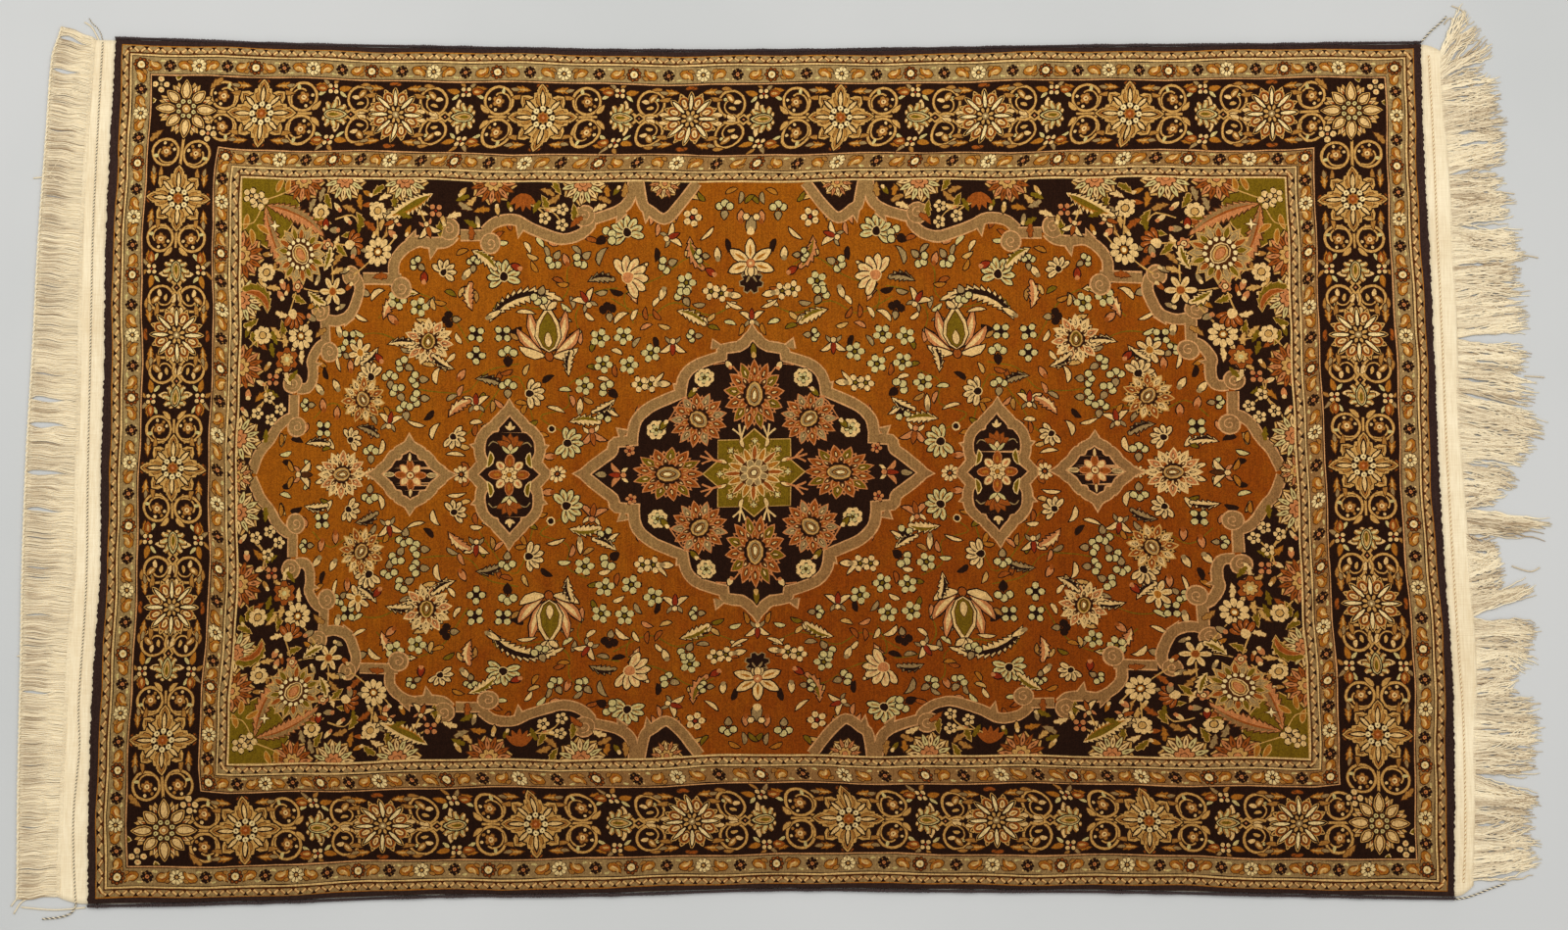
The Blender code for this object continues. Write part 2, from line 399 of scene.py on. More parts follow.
def twined(line, diameter, pitch, tones, height=0.0):
    """Yarns laid round each other along a line."""
    spots = evenly(line, pitch / TURN_STEPS)
    strands = []
    for number, tone in enumerate(tones):
        path = []
        for n, spot in enumerate(spots):
            before, after = spots[max(n - 1, 0)], spots[min(n + 1, len(spots) - 1)]
            side = (after - before) / abs(after - before) * 1j
            angle = math.tau * (n / TURN_STEPS + number / len(tones))
            path.append(to_frame(spot + side * diameter / 4 * math.cos(angle),
                                 height + diameter / 2 + diameter / 4 * math.sin(angle)))
        strands.append((path, diameter * 0.26, tone))
    return strands


def yarn_finish(name, colour, shade, fibre_share=0.35):
    """Spun yarn: each strand has its own tone, with fine fibres along and across it."""
    finish = Finish(name, Roughness=0.88, Specular_IOR_Level=0.2, Sheen_Weight=0.1)
    tone = finish.node("ShaderNodeAttribute", {"attribute_name": "yarn"}, output="Fac")
    fibre = finish.noise(900.0, detail=3.0)
    share = finish.ramp(tone * 0.65 + fibre * fibre_share + finish.noise(14.0) * 0.25, 0.30, 1.0)
    finish.colour(finish.blend(share, linear(shade), linear(colour)))
    finish.bump(fibre, 0.0004, 0.5)
    return finish


# %% [markdown]
# ## Loose cord ends
#
# At each corner the weaver's twined cord runs on past the cloth and lies loose on the
# floor. It is two fine yarns laid round each other, one dark and one light, along the
# same route as the CAD solid. The whole of each is in the picture, so none is coiled.

# %% Loose cord ends
CORDS = {
    # diameter and route, in mm from the pile's middle
    "cord_far_left": (1.4, ((-959, 610.2), (-961.5, 619), (-967, 628), (-974, 634.5), (-979, 642))),
    "cord_far_right": (2.6, ((941.3, 613), (948, 621), (958, 631.5), (969, 641), (980, 652))),
    "cord_near_right": (2.6, ((940.5, -613), (956, -611), (973, -605.5), (992, -598.5), (1012, -592))),
    "cord_near_left": (2.6, ((-956, -608.2), (-958.5, -617), (-966, -623.5), (-981, -627.5), (-1001, -629))),
}

dark_and_light = yarn_finish("yarn_dark_and_light", (246, 228, 190), (30, 24, 26))
cord_pieces = []
for name, (diameter, route) in CORDS.items():
    line = smooth(marks(route), 10)
    piece = yarns(name + "_twined", twined(line, diameter, diameter * 2.6, (0.0, 1.0)),
                  dark_and_light, "cord", name)
    middle = [to_frame(spot, diameter / 2) for spot in evenly(line, 2.5)]
    length = sum((end - start).length for start, end in zip(middle, middle[1:]))
    cord_pieces.append(piece)
    print(name, "is", round(length * 1000, 1), "mm long")

# %% [markdown]
# ## A chart for the knots
#
# A weaver works from a chart. Here the chart is a pile of closed outlines in mm from the
# rug's middle, one laid over another, and the last one laid shows. A Delaunay
# triangulation then cuts them all into one clean surface. An image texture would be
# quicker, but outlines keep every edge sharp and need no picture. A Pen draws from its
# own spot, and a flipped pen draws the mirror image, as the rug's four quarters need.

# %% The chart and its pens
LENGTH_HALF, WIDTH_HALF = 940.0, 615.0
EDGE = 1.25                  # how heavy the dark outlines are

DYES = {
    "ink": (38, 19, 9),
    "soot": (54, 38, 34),
    "bark": (78, 42, 14),
    "cream": (226, 188, 124),
    "ivory": (238, 212, 152),
    "pale": (203, 185, 122),
    "rose": (194, 124, 72),
    "blush": (206, 152, 98),
    "gold": (200, 154, 84),
    "tan": (168, 118, 54),
    "taupe": (150, 114, 68),
    "grey": (156, 129, 84),
    "brick": (150, 76, 22),
    "red": (138, 44, 14),
    "ochre": (170, 108, 32),
    "olive": (116, 92, 14),
    "field": (149, 81, 10),
}


class Chart:
    """Outlines, each with its dye, in the order they are laid."""

    def __init__(self):
        self.points, self.outlines, self.dyes = [], [], []
        self.regions = []        # (its first outline, the piece it belongs to)

    def region(self, name):
        self.regions.append((len(self.outlines), name))

    def lay(self, outline, dye):
        self.outlines.append((len(self.points), len(outline)))
        self.points.extend(outline)
        self.dyes.append(dye)


def direction(step):
    return step / (abs(step) or 1)


def span(outline):
    """Twice the area inside an outline, positive when it runs anticlockwise."""
    return sum(a.real * b.imag - b.real * a.imag for a, b in zip(outline, outline[1:] + outline[:1]))


def grown(outline, by):
    """The outline moved outwards all round."""
    side = 1 if span(outline) > 0 else -1
    result = []
    for n, spot in enumerate(outline):
        into = direction(spot - outline[n - 1])
        middle = into + direction(outline[(n + 1) % len(outline)] - spot)
        if abs(middle) < 0.4:
            middle = into * 0.4
        result.append(spot - 1j * side * middle / abs(middle) * by / max(0.45, abs(middle) / 2))
    return result


def is_outline(thing):
    """An outline, or a tuple of them to use in turn."""
    if isinstance(thing, tuple):
        return all(isinstance(item, list) for item in thing)
    return isinstance(thing, list) and isinstance(thing[0], complex)


# %% Pens
class Pen:
    """Draws from its own spot. A point z lands on spot + aim * z + twin * (z mirrored)."""

    def __init__(self, chart, spot=0j, aim=1 + 0j, twin=0j):
        self.chart, self.spot, self.aim, self.twin = chart, spot, aim, twin
        self.size = max(abs(aim), abs(twin))

    def find(self, point):
        return self.spot + self.aim * point + self.twin * point.conjugate()

    def at(self, spot=0j, turn=0.0, size=1.0, flip=False, stretch=1.0):
        """A pen further on. stretch draws everything longer along its own x axis."""
        spot = complex(*spot) if isinstance(spot, tuple) else complex(spot)
        way = cmath.rect(size, math.radians(turn))
        aim, twin = self.aim * way, self.twin * way.conjugate()
        if flip:
            aim, twin = twin, aim
        along, across = (stretch + 1) / 2, (stretch - 1) / 2
        return Pen(self.chart, self.find(spot), aim * along + twin * across, twin * along + aim * across)

    def lay(self, outline, dye, line=None, edge=1.3):
        if line:
            self.chart.lay([self.find(z) for z in grown(outline, edge * EDGE / self.size)], line)
        self.chart.lay([self.find(z) for z in outline], dye)

    def draw(self, *parts, n=0):
        """Draws a motif from its rim inwards. A part is one of these:
        (outline, dye) with the dye and width of a line round it if it has one,
        (place, outline, dye...) or (place, part, ...), where a place is how far along +x,
            or (x, y), or (x, y, turn),
        (count, first turn, part, ...) for parts all round, ([turns], part, ...) for parts
            at those turns, and ("both", part, ...) for parts and their mirror image.
        Of a tuple of outlines or dyes, each place round takes the next."""
        for first, *rest in parts:
            if is_outline(first):
                self.lay(*[item[n % len(item)] if isinstance(item, tuple) else item
                           for item in (first, *rest)])
            elif first == "both":
                for pen in self.both():
                    pen.draw(*rest, n=n)
            elif isinstance(first, list):
                for k, turn in enumerate(first):
                    self.at(0, turn).draw(*rest, n=k)
            elif is_outline(rest[0]) or isinstance(rest[0], tuple):
                x, y, turn = (*first, 0)[:3] if isinstance(first, tuple) else (first, 0, 0)
                self.at(complex(x, y), turn).draw(*((rest,) if is_outline(rest[0]) else rest), n=n)
            else:
                start, *rest = rest
                self.draw(([start + 360 * k / first for k in range(first)], *rest))

    def stroke(self, line, width, dye):
        """A band along an open line, as a chain of four-sided pieces."""
        left, right = [], []
        for n, spot in enumerate(line):
            side = direction(line[min(n + 1, len(line) - 1)] - line[max(n - 1, 0)]) * 1j * (width / 2)
            left.append(spot + side)
            right.append(spot - side)
        for n in range(len(line) - 1):
            self.lay([right[n], right[n + 1], left[n + 1], left[n]], dye)

    def both(self):
        return self, self.at(flip=True)

    def quarters(self):
        return *self.both(), *self.at(turn=180).both()


# %% [markdown]
# ## The outlines that all motifs share
#
# A petal, a leaf and a drop are one curve with different ends: the half width follows
# t^base (1 - t)^tip. Flowers are rings of them, and a saw-edged leaf steps the same
# curve in and out.


# %% Basic outlines
def polar(radius, degrees):
    return cmath.rect(radius, math.radians(degrees))


def ring(count, radius, phase=0.0):
    return [polar(radius, phase + 360 * n / count) for n in range(count)]


def star(count, inner, outer, phase=0.0):
    return [polar(inner if n % 2 else outer, phase + 180 * n / count) for n in range(2 * count)]


def lobed(count, inner, outer, phase=0.0):
    """A scalloped round."""
    radii = [mix(inner, outer, math.sin(math.pi * step / 3) ** 0.7) for step in range(3)]
    return [polar(radii[n % 3], phase + 360 * (n // 3 + n % 3 / 3) / count) for n in range(3 * count)]


def bent(share, across, length, bend):
    """A point beside a line that turns by bend degrees over its length."""
    turn = math.radians(bend)
    if abs(turn) < 0.01:
        return complex(length * share, across)
    aim = cmath.exp(1j * turn * share)
    return length * (aim - 1) / (1j * turn) + 1j * across * aim


def petal(length, width, base=0.6, tip=0.9, bend=0.0, steps=5):
    """From its foot at 0 to its tip, along +x."""
    peak = base / (base + tip)
    top = peak ** base * (1 - peak) ** tip
    stations = [(1 - math.cos(math.pi * n / steps)) / 2 for n in range(1, steps)]
    halves = [t ** base * (1 - t) ** tip / top * width / 2 for t in stations]
    near, far = ([bent(t, side * half, length, bend) for t, half in zip(stations, halves)]
                 for side in (-1, 1))
    return [0j, *near, bent(1, 0, length, bend), *far[::-1]]


def saw_leaf(length, width, teeth, bend, cut, sides=(1.0, 1.0)):
    """A leaf with a toothed edge; sides gives how wide each side is."""
    edges = []
    for sign, share in zip((-1, 1), sides):
        edge = []
        for n in range(teeth):
            wide = math.sin(math.pi * min(1, (n + 0.6) / teeth)) ** 0.7 * width / 2 * share
            edge.append(bent((n + 0.95) / teeth, sign * wide, length, bend))
            if n < teeth - 1:
                edge.append(bent((n + 1) / teeth, sign * wide * (1 - cut), length, bend))
        edges.append(edge)
    return [0j, *edges[0], bent(1.04, 0, length, bend), *edges[1][::-1]]


def lance(length, width):
    """A pointed leaf with two steps in each edge."""
    steps = ((0.28, 0.42), (0.50, 0.50), (0.53, 0.37), (0.70, 0.34), (0.73, 0.21), (0.86, 0.17))
    near = [complex(length * x, -width * y) for x, y in steps]
    return [0j, *near, complex(length, 0), *[z.conjugate() for z in near[::-1]]]


def stem(pen, points, width, dye, steps):
    pen.stroke(smooth(marks(points), steps), width, dye)


# %% [markdown]
# ## Small flowers and leaves
#
# Blossoms, daisies, buds, fans and flame-shaped leaves fill a Persian field. Each is laid
# a little larger in dark brown first, as a weaver rings it with one row of dark knots.


# %% Small flowers and leaves
def blossom(pen, reach, petals=5, dye="cream", eye="olive", heart=None, *more):
    hearts = [(reach * 0.62, ring(4, reach * 0.11), heart)] if heart else []
    pen.draw((lobed(petals, reach * 0.62, reach + 1.5), "ink"),
             (petals, 180 / petals, (reach * 0.62, ring(7, reach * 0.34), dye), *hearts),
             (ring(5, reach * 0.2), eye), *more)


def trefoil(pen, reach=12.0, cup="grey", dye="pale"):
    pen.draw((-2, petal(-reach * 0.9, reach * 0.7, 0.5), cup, "ink"),
             ([-62, 0, 62], (reach * 0.6, ring(7, reach * 0.37), dye, "ink")), (ring(4, 1.6), "ink"))


def daisy(pen, reach, petals, dye="cream", eye="ochre", core="ink", *more):
    pen.draw((lobed(petals, reach * 0.72, reach + 1.6), "ink"),
             (petals, 180 / petals, (reach * 0.34, petal(reach * 0.66, reach * 0.43, 0.7, 0.45), dye)),
             (ring(8, reach * 0.33), core), (ring(6, reach * 0.2), eye), *more)


def bud(pen, length=15.0, dye="cream", cup="grey", width=8.0):
    pen.draw((petal(length, width, 0.6, 0.8), dye, "ink"), (-2, petal(length * 0.5, width * 0.8, 0.5), cup))


def crescent(pen, length, bend, dye="cream", width=6.5):
    pen.lay(petal(length, width, 0.8, 1.0, bend, 6), dye, "ink", 1.2)


def flame(pen, length, bend, width, dye, under, teeth, *more):
    """A saw-edged leaf, light along one side and dark along the other."""
    shade = saw_leaf(length * 0.86, width * 0.72, teeth, bend * 0.92, 0.4, (1.0, 0.1))
    pen.draw((saw_leaf(length, width, teeth, bend, 0.5), dye, "ink", 1.2), (2, shade, under), *more)


def fan(pen, reach, petals, spread, dye="cream", cup="ink", slit="grey", *more):
    """A flower seen from the side, its petals spread like a hand."""
    pen.draw(([mix(-spread / 2, spread / 2, n / (petals - 1)) for n in range(petals)],
              (2, petal(reach - 2, reach * 0.40, 0.8, 0.6), dye, "ink", 1.3),
              (reach * 0.30, petal(reach * 0.5, reach * 0.10, 0.7, 0.7, steps=4), slit)),
             (-reach * 0.22, petal(reach * 0.55, reach * 0.5, 0.5, 0.7), cup, "cream", 1.0), *more)


def lily(pen, reach=20.0, dye="cream", heart="red", cup="grey"):
    pen.draw(("both", ([24], (petal(reach, reach * 0.32, 0.8, 0.9, 55), dye, "ink")),
              ([100], (petal(reach * 0.6, reach * 0.22, 0.8, 0.9, 60), cup, "ink", 1.0))),
             (petal(reach * 0.8, reach * 0.3, 0.7, 0.8), heart, "ink", 1.0),
             (-2, ring(6, reach * 0.17), dye, "ink", 1.0))


# %% [markdown]
# ## Palmettes, lotuses and rosettes
#
# The large motifs are built from rings of petals round a heart. A lotus is drawn as one
# half and its mirror image, and a palmette is a drop-shaped heart inside two rows of
# pointed petals.


# %% Large flowers
def lotus(pen, size):
    """Flaring petals either side of an onion-shaped bud; it grows along +x."""
    pen.at(size=size).draw(
        ("both", ((-2, 6, 62), petal(36, 10, 0.9, 0.9, -38), "rose", "ink"),
         ((1, 8, 64), petal(28, 4.5, 0.9, 0.9, -38), "cream"),
         ((-4, 4, 96), petal(27, 9, 0.9, 0.9, -52), "cream", "ink"),
         ((2, 5, 34), petal(42, 10, 0.8, 0.9, -34), "rose", "ink"),
         ((4, 6, 36), petal(34, 4.5, 0.8, 0.9, -34), "cream")),
        (-9, petal(10, 8, 0.6, 0.7), "brick", "ink"), (petal(46, 25, 0.7, 1.0), "cream", "ink"),
        (2, petal(38, 18, 0.7, 1.0), "olive", "bark", 1.0), (5, petal(15, 7, 0.7), "cream", "bark", 0.8),
        (43, ([-48, 0, 48], (petal(11, 6, 0.8, 0.7), "cream", "ink"))))


def star_lotus(pen):
    """Six open petals over a dark cup; it grows along +x."""
    pen.draw((-26, lobed(7, 11, 17, 20), "ink", "grey", 1.2),
             (-14, ([-150, -105, 105, 150], (petal(15, 3, 0.7, 0.7), "grey"))),
             ([0, 58, -58, 110, -110], (3, petal(31, 14, 0.75, 0.75), "cream", "ink", 1.6),
              (9, petal(17, 4, 0.7, 0.8), "ochre")),
             (-4, ([150, -150, 180], (petal(15, 9, 0.6, 0.7), "cream", "ink"))),
             (ring(8, 5.5), "rose", "brick", 1.0), (ring(5, 2.5), "cream"))


def palmette(pen, size, heart="grey", rows=("brick", "olive"), count=13, rim="rose", stretch=1.0):
    """A drop-shaped heart in rows of pointed petals; its tip points along +x."""
    pen.at(size=size, stretch=stretch).draw(
        (star(2 * count, 30, 36), rim, "ink", 1.0),
        (star(2 * count, 27, 33), "ink"),
        (count, 0, (19, petal(20, 10.5, 0.6, 1.0), rows, rim, 1.3),
         (22, petal(11, 4.2, steps=4), ("ink", "bark")), (24, petal(7, 2.2, 0.6, 0.8, steps=4), "cream")),
        (lobed(count, 19.5, 23), "ink"),
        (count, 180 / count, (13, petal(11.5, 7.0, 0.5, 0.8), ("brick", "bark"), rim, 1.1),
         (18, petal(4.5, 2.2, 0.5, 0.7, steps=4), ("gold", "cream"))),
        (lobed(count, 14.5, 16), "ink"),
        (-13, petal(28, 22, 0.5, 0.6), "gold", "bark", 1.1),
        (-11.5, petal(24.5, 17, 0.5, 0.6), heart),
        (-8.5, petal(17, 9.5, 0.55, 0.7), "tan", "bark", 1.1),
        (-5.5, petal(10.5, 5, 0.6, 0.8), "ivory", "bark", 0.9))


def dotted_palmette(pen):
    """The big spandrel palmette: a cream oval, a ring of cream dots and a saw-edged rim."""
    lengths = tuple(petal(length, 6.5, 0.6, 0.8) for length in (13, 16))
    pen.draw(
        (star(17, 31, 40, 8), "grey", "gold", 1.2), (star(17, 27, 35, 8), "bark"),
        (17, 8, (21, lengths, ("olive", "brick", "grey"), "gold", 0.8)), (ring(18, 22.5), "bark"),
        (14, 0, (19.2, ring(6, 3.2), "ivory")),
        (-15, petal(31, 25, 0.5, 0.6), "cream", "bark", 1.2),
        (-12, petal(25, 18, 0.5, 0.6), "gold", "bark", 1.1),
        (-8, petal(17, 10, 0.5, 0.6), "rose", "brick", 1.0))


def half_palmette(pen, size, rows, count=8, heart="gold"):
    """Grows from a stripe's edge along +x; the half beyond the edge is covered later."""
    pen.at(size=size).draw(
        (star(count, 25, 32, 9), "gold", "ink", 1.3), (star(count, 22, 28, 9), "bark"),
        (2 * count, 5, (11, petal(19, 6.4, 0.6, 0.8), rows, "bark", 1.0),
         (16, petal(8, 2, 0.6, 0.8, steps=4), "bark")),
        (lobed(8, 9, 13), heart, "bark", 1.0), (ring(7, 5), "rose", "bark", 0.9))


def pointed_rosette(pen):
    """A gold eight-pointed star with light spokes round a ring of eight circles."""
    for start, long, wide in ((45, 40, 43), (0, 46, 33)):
        pen.draw((4, start, (lance(long, wide), "gold", "ink", 1.3),
                  (10, lance(long - 14, 19), "tan", "bark", 0.7),
                  ("both", ((13, 0, 17), petal(long - 20, 4), "gold")),
                  (long - 15, petal(9, 3.4, 0.6, 0.8, steps=4), "brick")))
    pen.draw((8, 0, (15, (petal(20, 4.8, 0.7, 0.8), petal(16, 4.8, 0.7, 0.8)), "cream", "ink", 1.5)),
             (lobed(8, 13.5, 16.5), "ink"),
             (8, 0, (12.2, ring(7, 3.9), "ivory"), (12.2, ring(4, 1.3), "ink")),
             (star(8, 5, 7.2), "brick", "tan", 1.1), (ring(5, 2.2), "rose"))


def round_rosette(pen):
    """A rust eight-lobed flower with light petals and a saw-edged light rim."""
    pen.draw((16, 0, (25, petal(13, 8, 0.5, 0.8), "gold", "ink", 1.0),
              (28, petal(8, 3.6, 0.5, 0.8, steps=4), "bark")),
             (lobed(8, 25, 32), "bark"),
             (8, 22.5, (15, petal(17, 13.5, 0.6, 0.5), "brick", "gold", 1.0),
              (17, petal(12, 7, 0.6, 0.6), "cream", "bark", 1.0),
              (20, petal(7, 2.4, 0.6, 0.6, steps=4), "ochre")),
             (8, 0, (11, petal(23, 4.6, 0.7, 0.8), "ivory", "ink", 1.3)), (ring(12, 12.5), "ink"),
             (8, 22.5, (5, petal(7, 4.2, 0.6, 0.6), "gold")),
             (ring(8, 4.6), "grey", "bark", 0.9), (ring(5, 2.2), "ivory"))


def corner_rosette(pen):
    """Eight almond petals between saw-edged leaves, round a ring of small circles."""
    pen.draw((8, 22.5, ("both", ((15, 0, 10), petal(22, 8, 0.6, 0.8), "gold", "ink", 1.1)),
              (18, petal(16, 6, 0.5, 1.0), "cream", "bark", 0.9),
              (20, petal(10, 3, 0.5, 1.0, steps=4), "brick")),
             *[(4, start, (13, petal(long, 14.5), "gold", "ink", 1.6),
                (15.5, petal(long - 6, 8.6), "cream", "bark", 1.1)) for start, long in ((45, 22), (0, 27))],
             (ring(16, 15.0), "bark"),
             (8, 22.5, (10.6, ring(6, 3.1), "pale", "ink", 0.8), (10.6, ring(4, 1.2), "bark")),
             (ring(8, 5.6), "gold", "bark", 0.8), (ring(5, 2.6), "ivory", "brick", 0.9))


chart = Chart()
page = Pen(chart)
print("dyes:", len(DYES))

# %% [markdown]
# ## The field and its medallion
#
# The ground of the field is a rust wool whose dye lots drift from golden brown to red.
# Scattered flowers repeat in four mirrored quarters, so a list gives one quarter: the
# kind of motif, its place in mm from the middle and its turn in degrees.

# %% Field ground and the scattered flowers
FIELD_X, FIELD_Y = 742.0, 417.0


def cut_evenly(start, end, count):
    """A straight run of points from start up to end."""
    return [mix(start, end, n / count) for n in range(count)]


chart.region("pile_field")
field_corners = marks(((-FIELD_X, -FIELD_Y), (FIELD_X, -FIELD_Y), (FIELD_X, FIELD_Y), (-FIELD_X, FIELD_Y)))
page.lay([spot for start, end in zip(field_corners, field_corners[1:] + field_corners[:1])
          for spot in cut_evenly(start, end, round(abs(end - start) / 20))], "field")
print("field ground:", len(chart.points), "points")


# %% Motifs of the field
def cluster(pen):
    blossom(pen.at(-6), 11)
    blossom(pen.at(7, 30), 11)
    bud(pen.at(-16, 180), 15)


MOTIFS = {
    "blossom": (blossom, 12.5, 5, "pale"),
    "dotted": (blossom, 12.5, 5, "cream", "red", "gold"),
    "four": (blossom, 12, 4, "pale", "ink"),
    "cluster": (cluster,),
    "trefoil": (trefoil,),
    "dark_trefoil": (trefoil, 13, "ink"),
    "black_trefoil": (trefoil, 11, "grey", "ink"),
    "small_trefoil": (trefoil, 9.5),
    "bud": (bud,),
    "rose_bud": (bud, 15, "rose", "brick"),
    "red_bud": (bud, 13, "red", "rose"),
    "long_bud": (bud, 20, "cream", "grey", 7),
    "crescent": (crescent, 22, 85),
    "grey_crescent": (crescent, 24, 80, "grey", 7),
    "thin_leaf": (crescent, 22, 35, "cream", 4.5),
    "black_leaf": (flame, 32, 40, 12, "cream", "ink", 5),
    "grey_leaf": (flame, 32, 50, 12, "grey", "ink", 5),
    "rose_leaf": (flame, 34, 50, 14, "rose", "cream", 5),
    "olive_leaf": (flame, 38, 35, 15, "cream", "olive", 6),
    "flame": (flame, 42, -60, 16, "rose", "olive", 6),
    "great_leaf": (flame, 98, 88, 20, "cream", "ink", 13,
                   ((5, 0, 1), petal(78, 3.6, 0.7, 0.9, 80, 8), "ink")),
    "fan": (fan, 19, 6, 160),
    "wide_fan": (fan, 26, 7, 190, "cream", "rose", "blush"),
    "half_daisy": (fan, 16, 6, 180),
    "fan_lotus": (fan, 21, 8, 230, "pale", "ink", "tan"),
    "lily": (lily,),
    "rose_lily": (lily, 22, "rose", "brick", "cream"),
    "lotus": (lotus, 1.24),
    "olive_palmette": (palmette, 0.74, "olive", ("cream", "rose"), 11, "cream"),
    "round_palmette": (palmette, 0.72, "grey", ("cream", "brick"), 11, "gold"),
    "star": (fan, 18, 7, 308, "cream", "ochre", "gold"),
    "ring": (Pen.lay, ring(7, 4.0), "ink", "cream", 1.4),
}
print("motifs of the field:", len(MOTIFS))


# %% One quarter of the field
def listed(text):
    """Rows of (kind, x, y, turn) from a list that is easy to write."""
    return [(kind, *map(float, place)) for kind, *place in (row.split() for row in text.split(","))]


FIELD_QUARTER = listed("""
trefoil 37 378 90, dotted 82 366 0, rose_bud 14 360 90, thin_leaf 52 352 -60, lily 118 338 160,
flame 86 338 -82, small_trefoil 71 313 0, bud 47 308 90, red_bud 52 288 30, trefoil 120 302 -20,
bud 124 270 -70, blossom 93 277 0, trefoil 97 258 60, cluster 50 264 10, olive_leaf 106 238 190,
thin_leaf 14 240 10, rose_leaf 164 250 60, crescent 150 280 40, fan_lotus 176 344 75,
dark_trefoil 205 338 150, wide_fan 176 284 150, grey_crescent 215 300 75, trefoil 238 308 -40,
trefoil 277 308 -60, grey_leaf 230 278 150, lily 233 248 60, black_trefoil 205 238 80, crescent 196 222 100,
rose_bud 258 300 70, blossom 217 201 0, blossom 184 204 20, blossom 212 163 10, blossom 176 160 0,
blossom 145 177 40, lily 115 192 -90, small_trefoil 85 202 0, thin_leaf 127 148 -60, cluster 152 132 0,
dark_trefoil 205 124 40, four 208 89 20, thin_leaf 190 86 20, rose_lily 226 62 -100, blossom 240 131 0,
long_bud 245 90 90, black_leaf 196 110 -50, rose_bud 160 100 -80, lotus 288 178 90, four 351 204 0,
four 389 203 10, great_leaf 368 222 118, fan_lotus 350 284 80, red_bud 326 296 20, trefoil 299 258 -70,
thin_leaf 330 236 170, long_bud 373 226 150, rose_leaf 394 238 62, bud 407 282 125,
small_trefoil 394 302 90, olive_leaf 396 320 200, half_daisy 436 290 125, black_trefoil 424 224 0,
olive_palmette 456 192 90, blossom 469 243 0, olive_leaf 470 262 0, small_trefoil 472 300 30,
red_bud 462 276 90, four 389 172 45, dark_trefoil 345 172 90, black_leaf 420 152 14, trefoil 470 136 0,
trefoil 469 109 0, crescent 444 130 60, rose_bud 413 136 120, grey_leaf 388 138 170, lily 389 98 90,
rose_leaf 428 84 120, trefoil 345 124 90, fan 316 117 180, olive_leaf 258 78 165, ring 284 67 0,
thin_leaf 290 99 180, black_leaf 262 146 80, fan_lotus 262 46 200, rose_bud 279 26 0, half_daisy 422 55 220,
thin_leaf 462 70 0, crescent 450 52 70, thin_leaf 430 30 170, four 573 197 0, star 556 176 90,
black_leaf 528 184 -60, rose_bud 573 149 90, fan 540 142 60, round_palmette 553 110 60, trefoil 511 138 90,
trefoil 499 118 60, trefoil 489 158 30, black_leaf 512 190 160, red_bud 522 164 50, trefoil 489 92 80,
lily 512 72 100, grey_leaf 560 70 180, half_daisy 572 51 150, crescent 522 50 250, trefoil 540 30 90,
black_leaf 640 44 160, four 614 66 0, rose_bud 593 82 90, rose_bud 614 92 80, bud 592 122 60,
bud 617 117 50, small_trefoil 640 100 0, thin_leaf 590 150 60, rose_leaf 520 226 100, blossom 500 252 0,
crescent 538 250 100, bud 588 200 80, small_trefoil 585 176 40, trefoil 555 262 20, thin_leaf 545 222 10,
rose_bud 500 220 40""")

VINES = (
    # thin tone-on-tone stems that tie the flowers together, one quarter of them
    ((20, 250), (60, 232), (110, 250), (150, 232), (200, 256)),
    ((60, 300), (90, 310), (130, 285), (180, 262), (170, 222)),
    ((228, 316), (258, 296), (262, 260), (300, 240), (352, 252), (366, 230)),
    ((232, 150), (262, 132), (262, 100), (300, 84), (262, 60)),
    ((330, 160), (372, 150), (400, 120), (440, 118), (470, 122)),
    ((400, 190), (430, 240), (470, 262), (500, 252), (528, 226)),
    ((476, 180), (520, 204), (560, 200), (600, 180)),
    ((480, 80), (520, 96), (560, 84), (600, 104), (630, 80)),
    ((240, 200), (250, 232), (226, 262), (190, 270)),
    ((300, 30), (330, 140), (372, 100), (400, 60), (430, 46)),
)
print("flowers in a quarter:", len(FIELD_QUARTER))


# %% Small leaves between the flowers
def scattered(count, apart, taken, allowed, dyes, seed):
    """Places for small leaves, clear of every flower."""
    random.seed(seed)
    places = []
    for _ in range(40000):
        x, y = random.uniform(8, 735), random.uniform(4, 410)
        if allowed(x, y) and all(abs(complex(x, y) - place) > reach for place, reach in taken):
            places.append((x, y, random.uniform(0, 360), random.choice(dyes)))
            taken.append((complex(x, y), apart))
        if len(places) == count:
            break
    return places


def open_field(x, y):
    clear_of_medallion = math.hypot(x / 246, y / 216) >= 1.0
    return clear_of_medallion and x / 700 + y / 560 < 1.17 and (x < 640 or y < 60) and x < 680 and y < 405


field_taken = [(complex(x, y), 44 if "great" in kind or "lotus" in kind else 22)
               for kind, x, y, _ in FIELD_QUARTER]
field_taken += [(304j, 44), (583, 36), (482, 74), (343, 66)]
LEAF_DYES = ("grey", "pale", "rose", "ink", "tan", "brick", "olive", "cream", "gold", "ochre")
field_leaves = scattered(150, 17.0, field_taken, open_field, LEAF_DYES, 5)
print("small leaves in a quarter:", len(field_leaves))

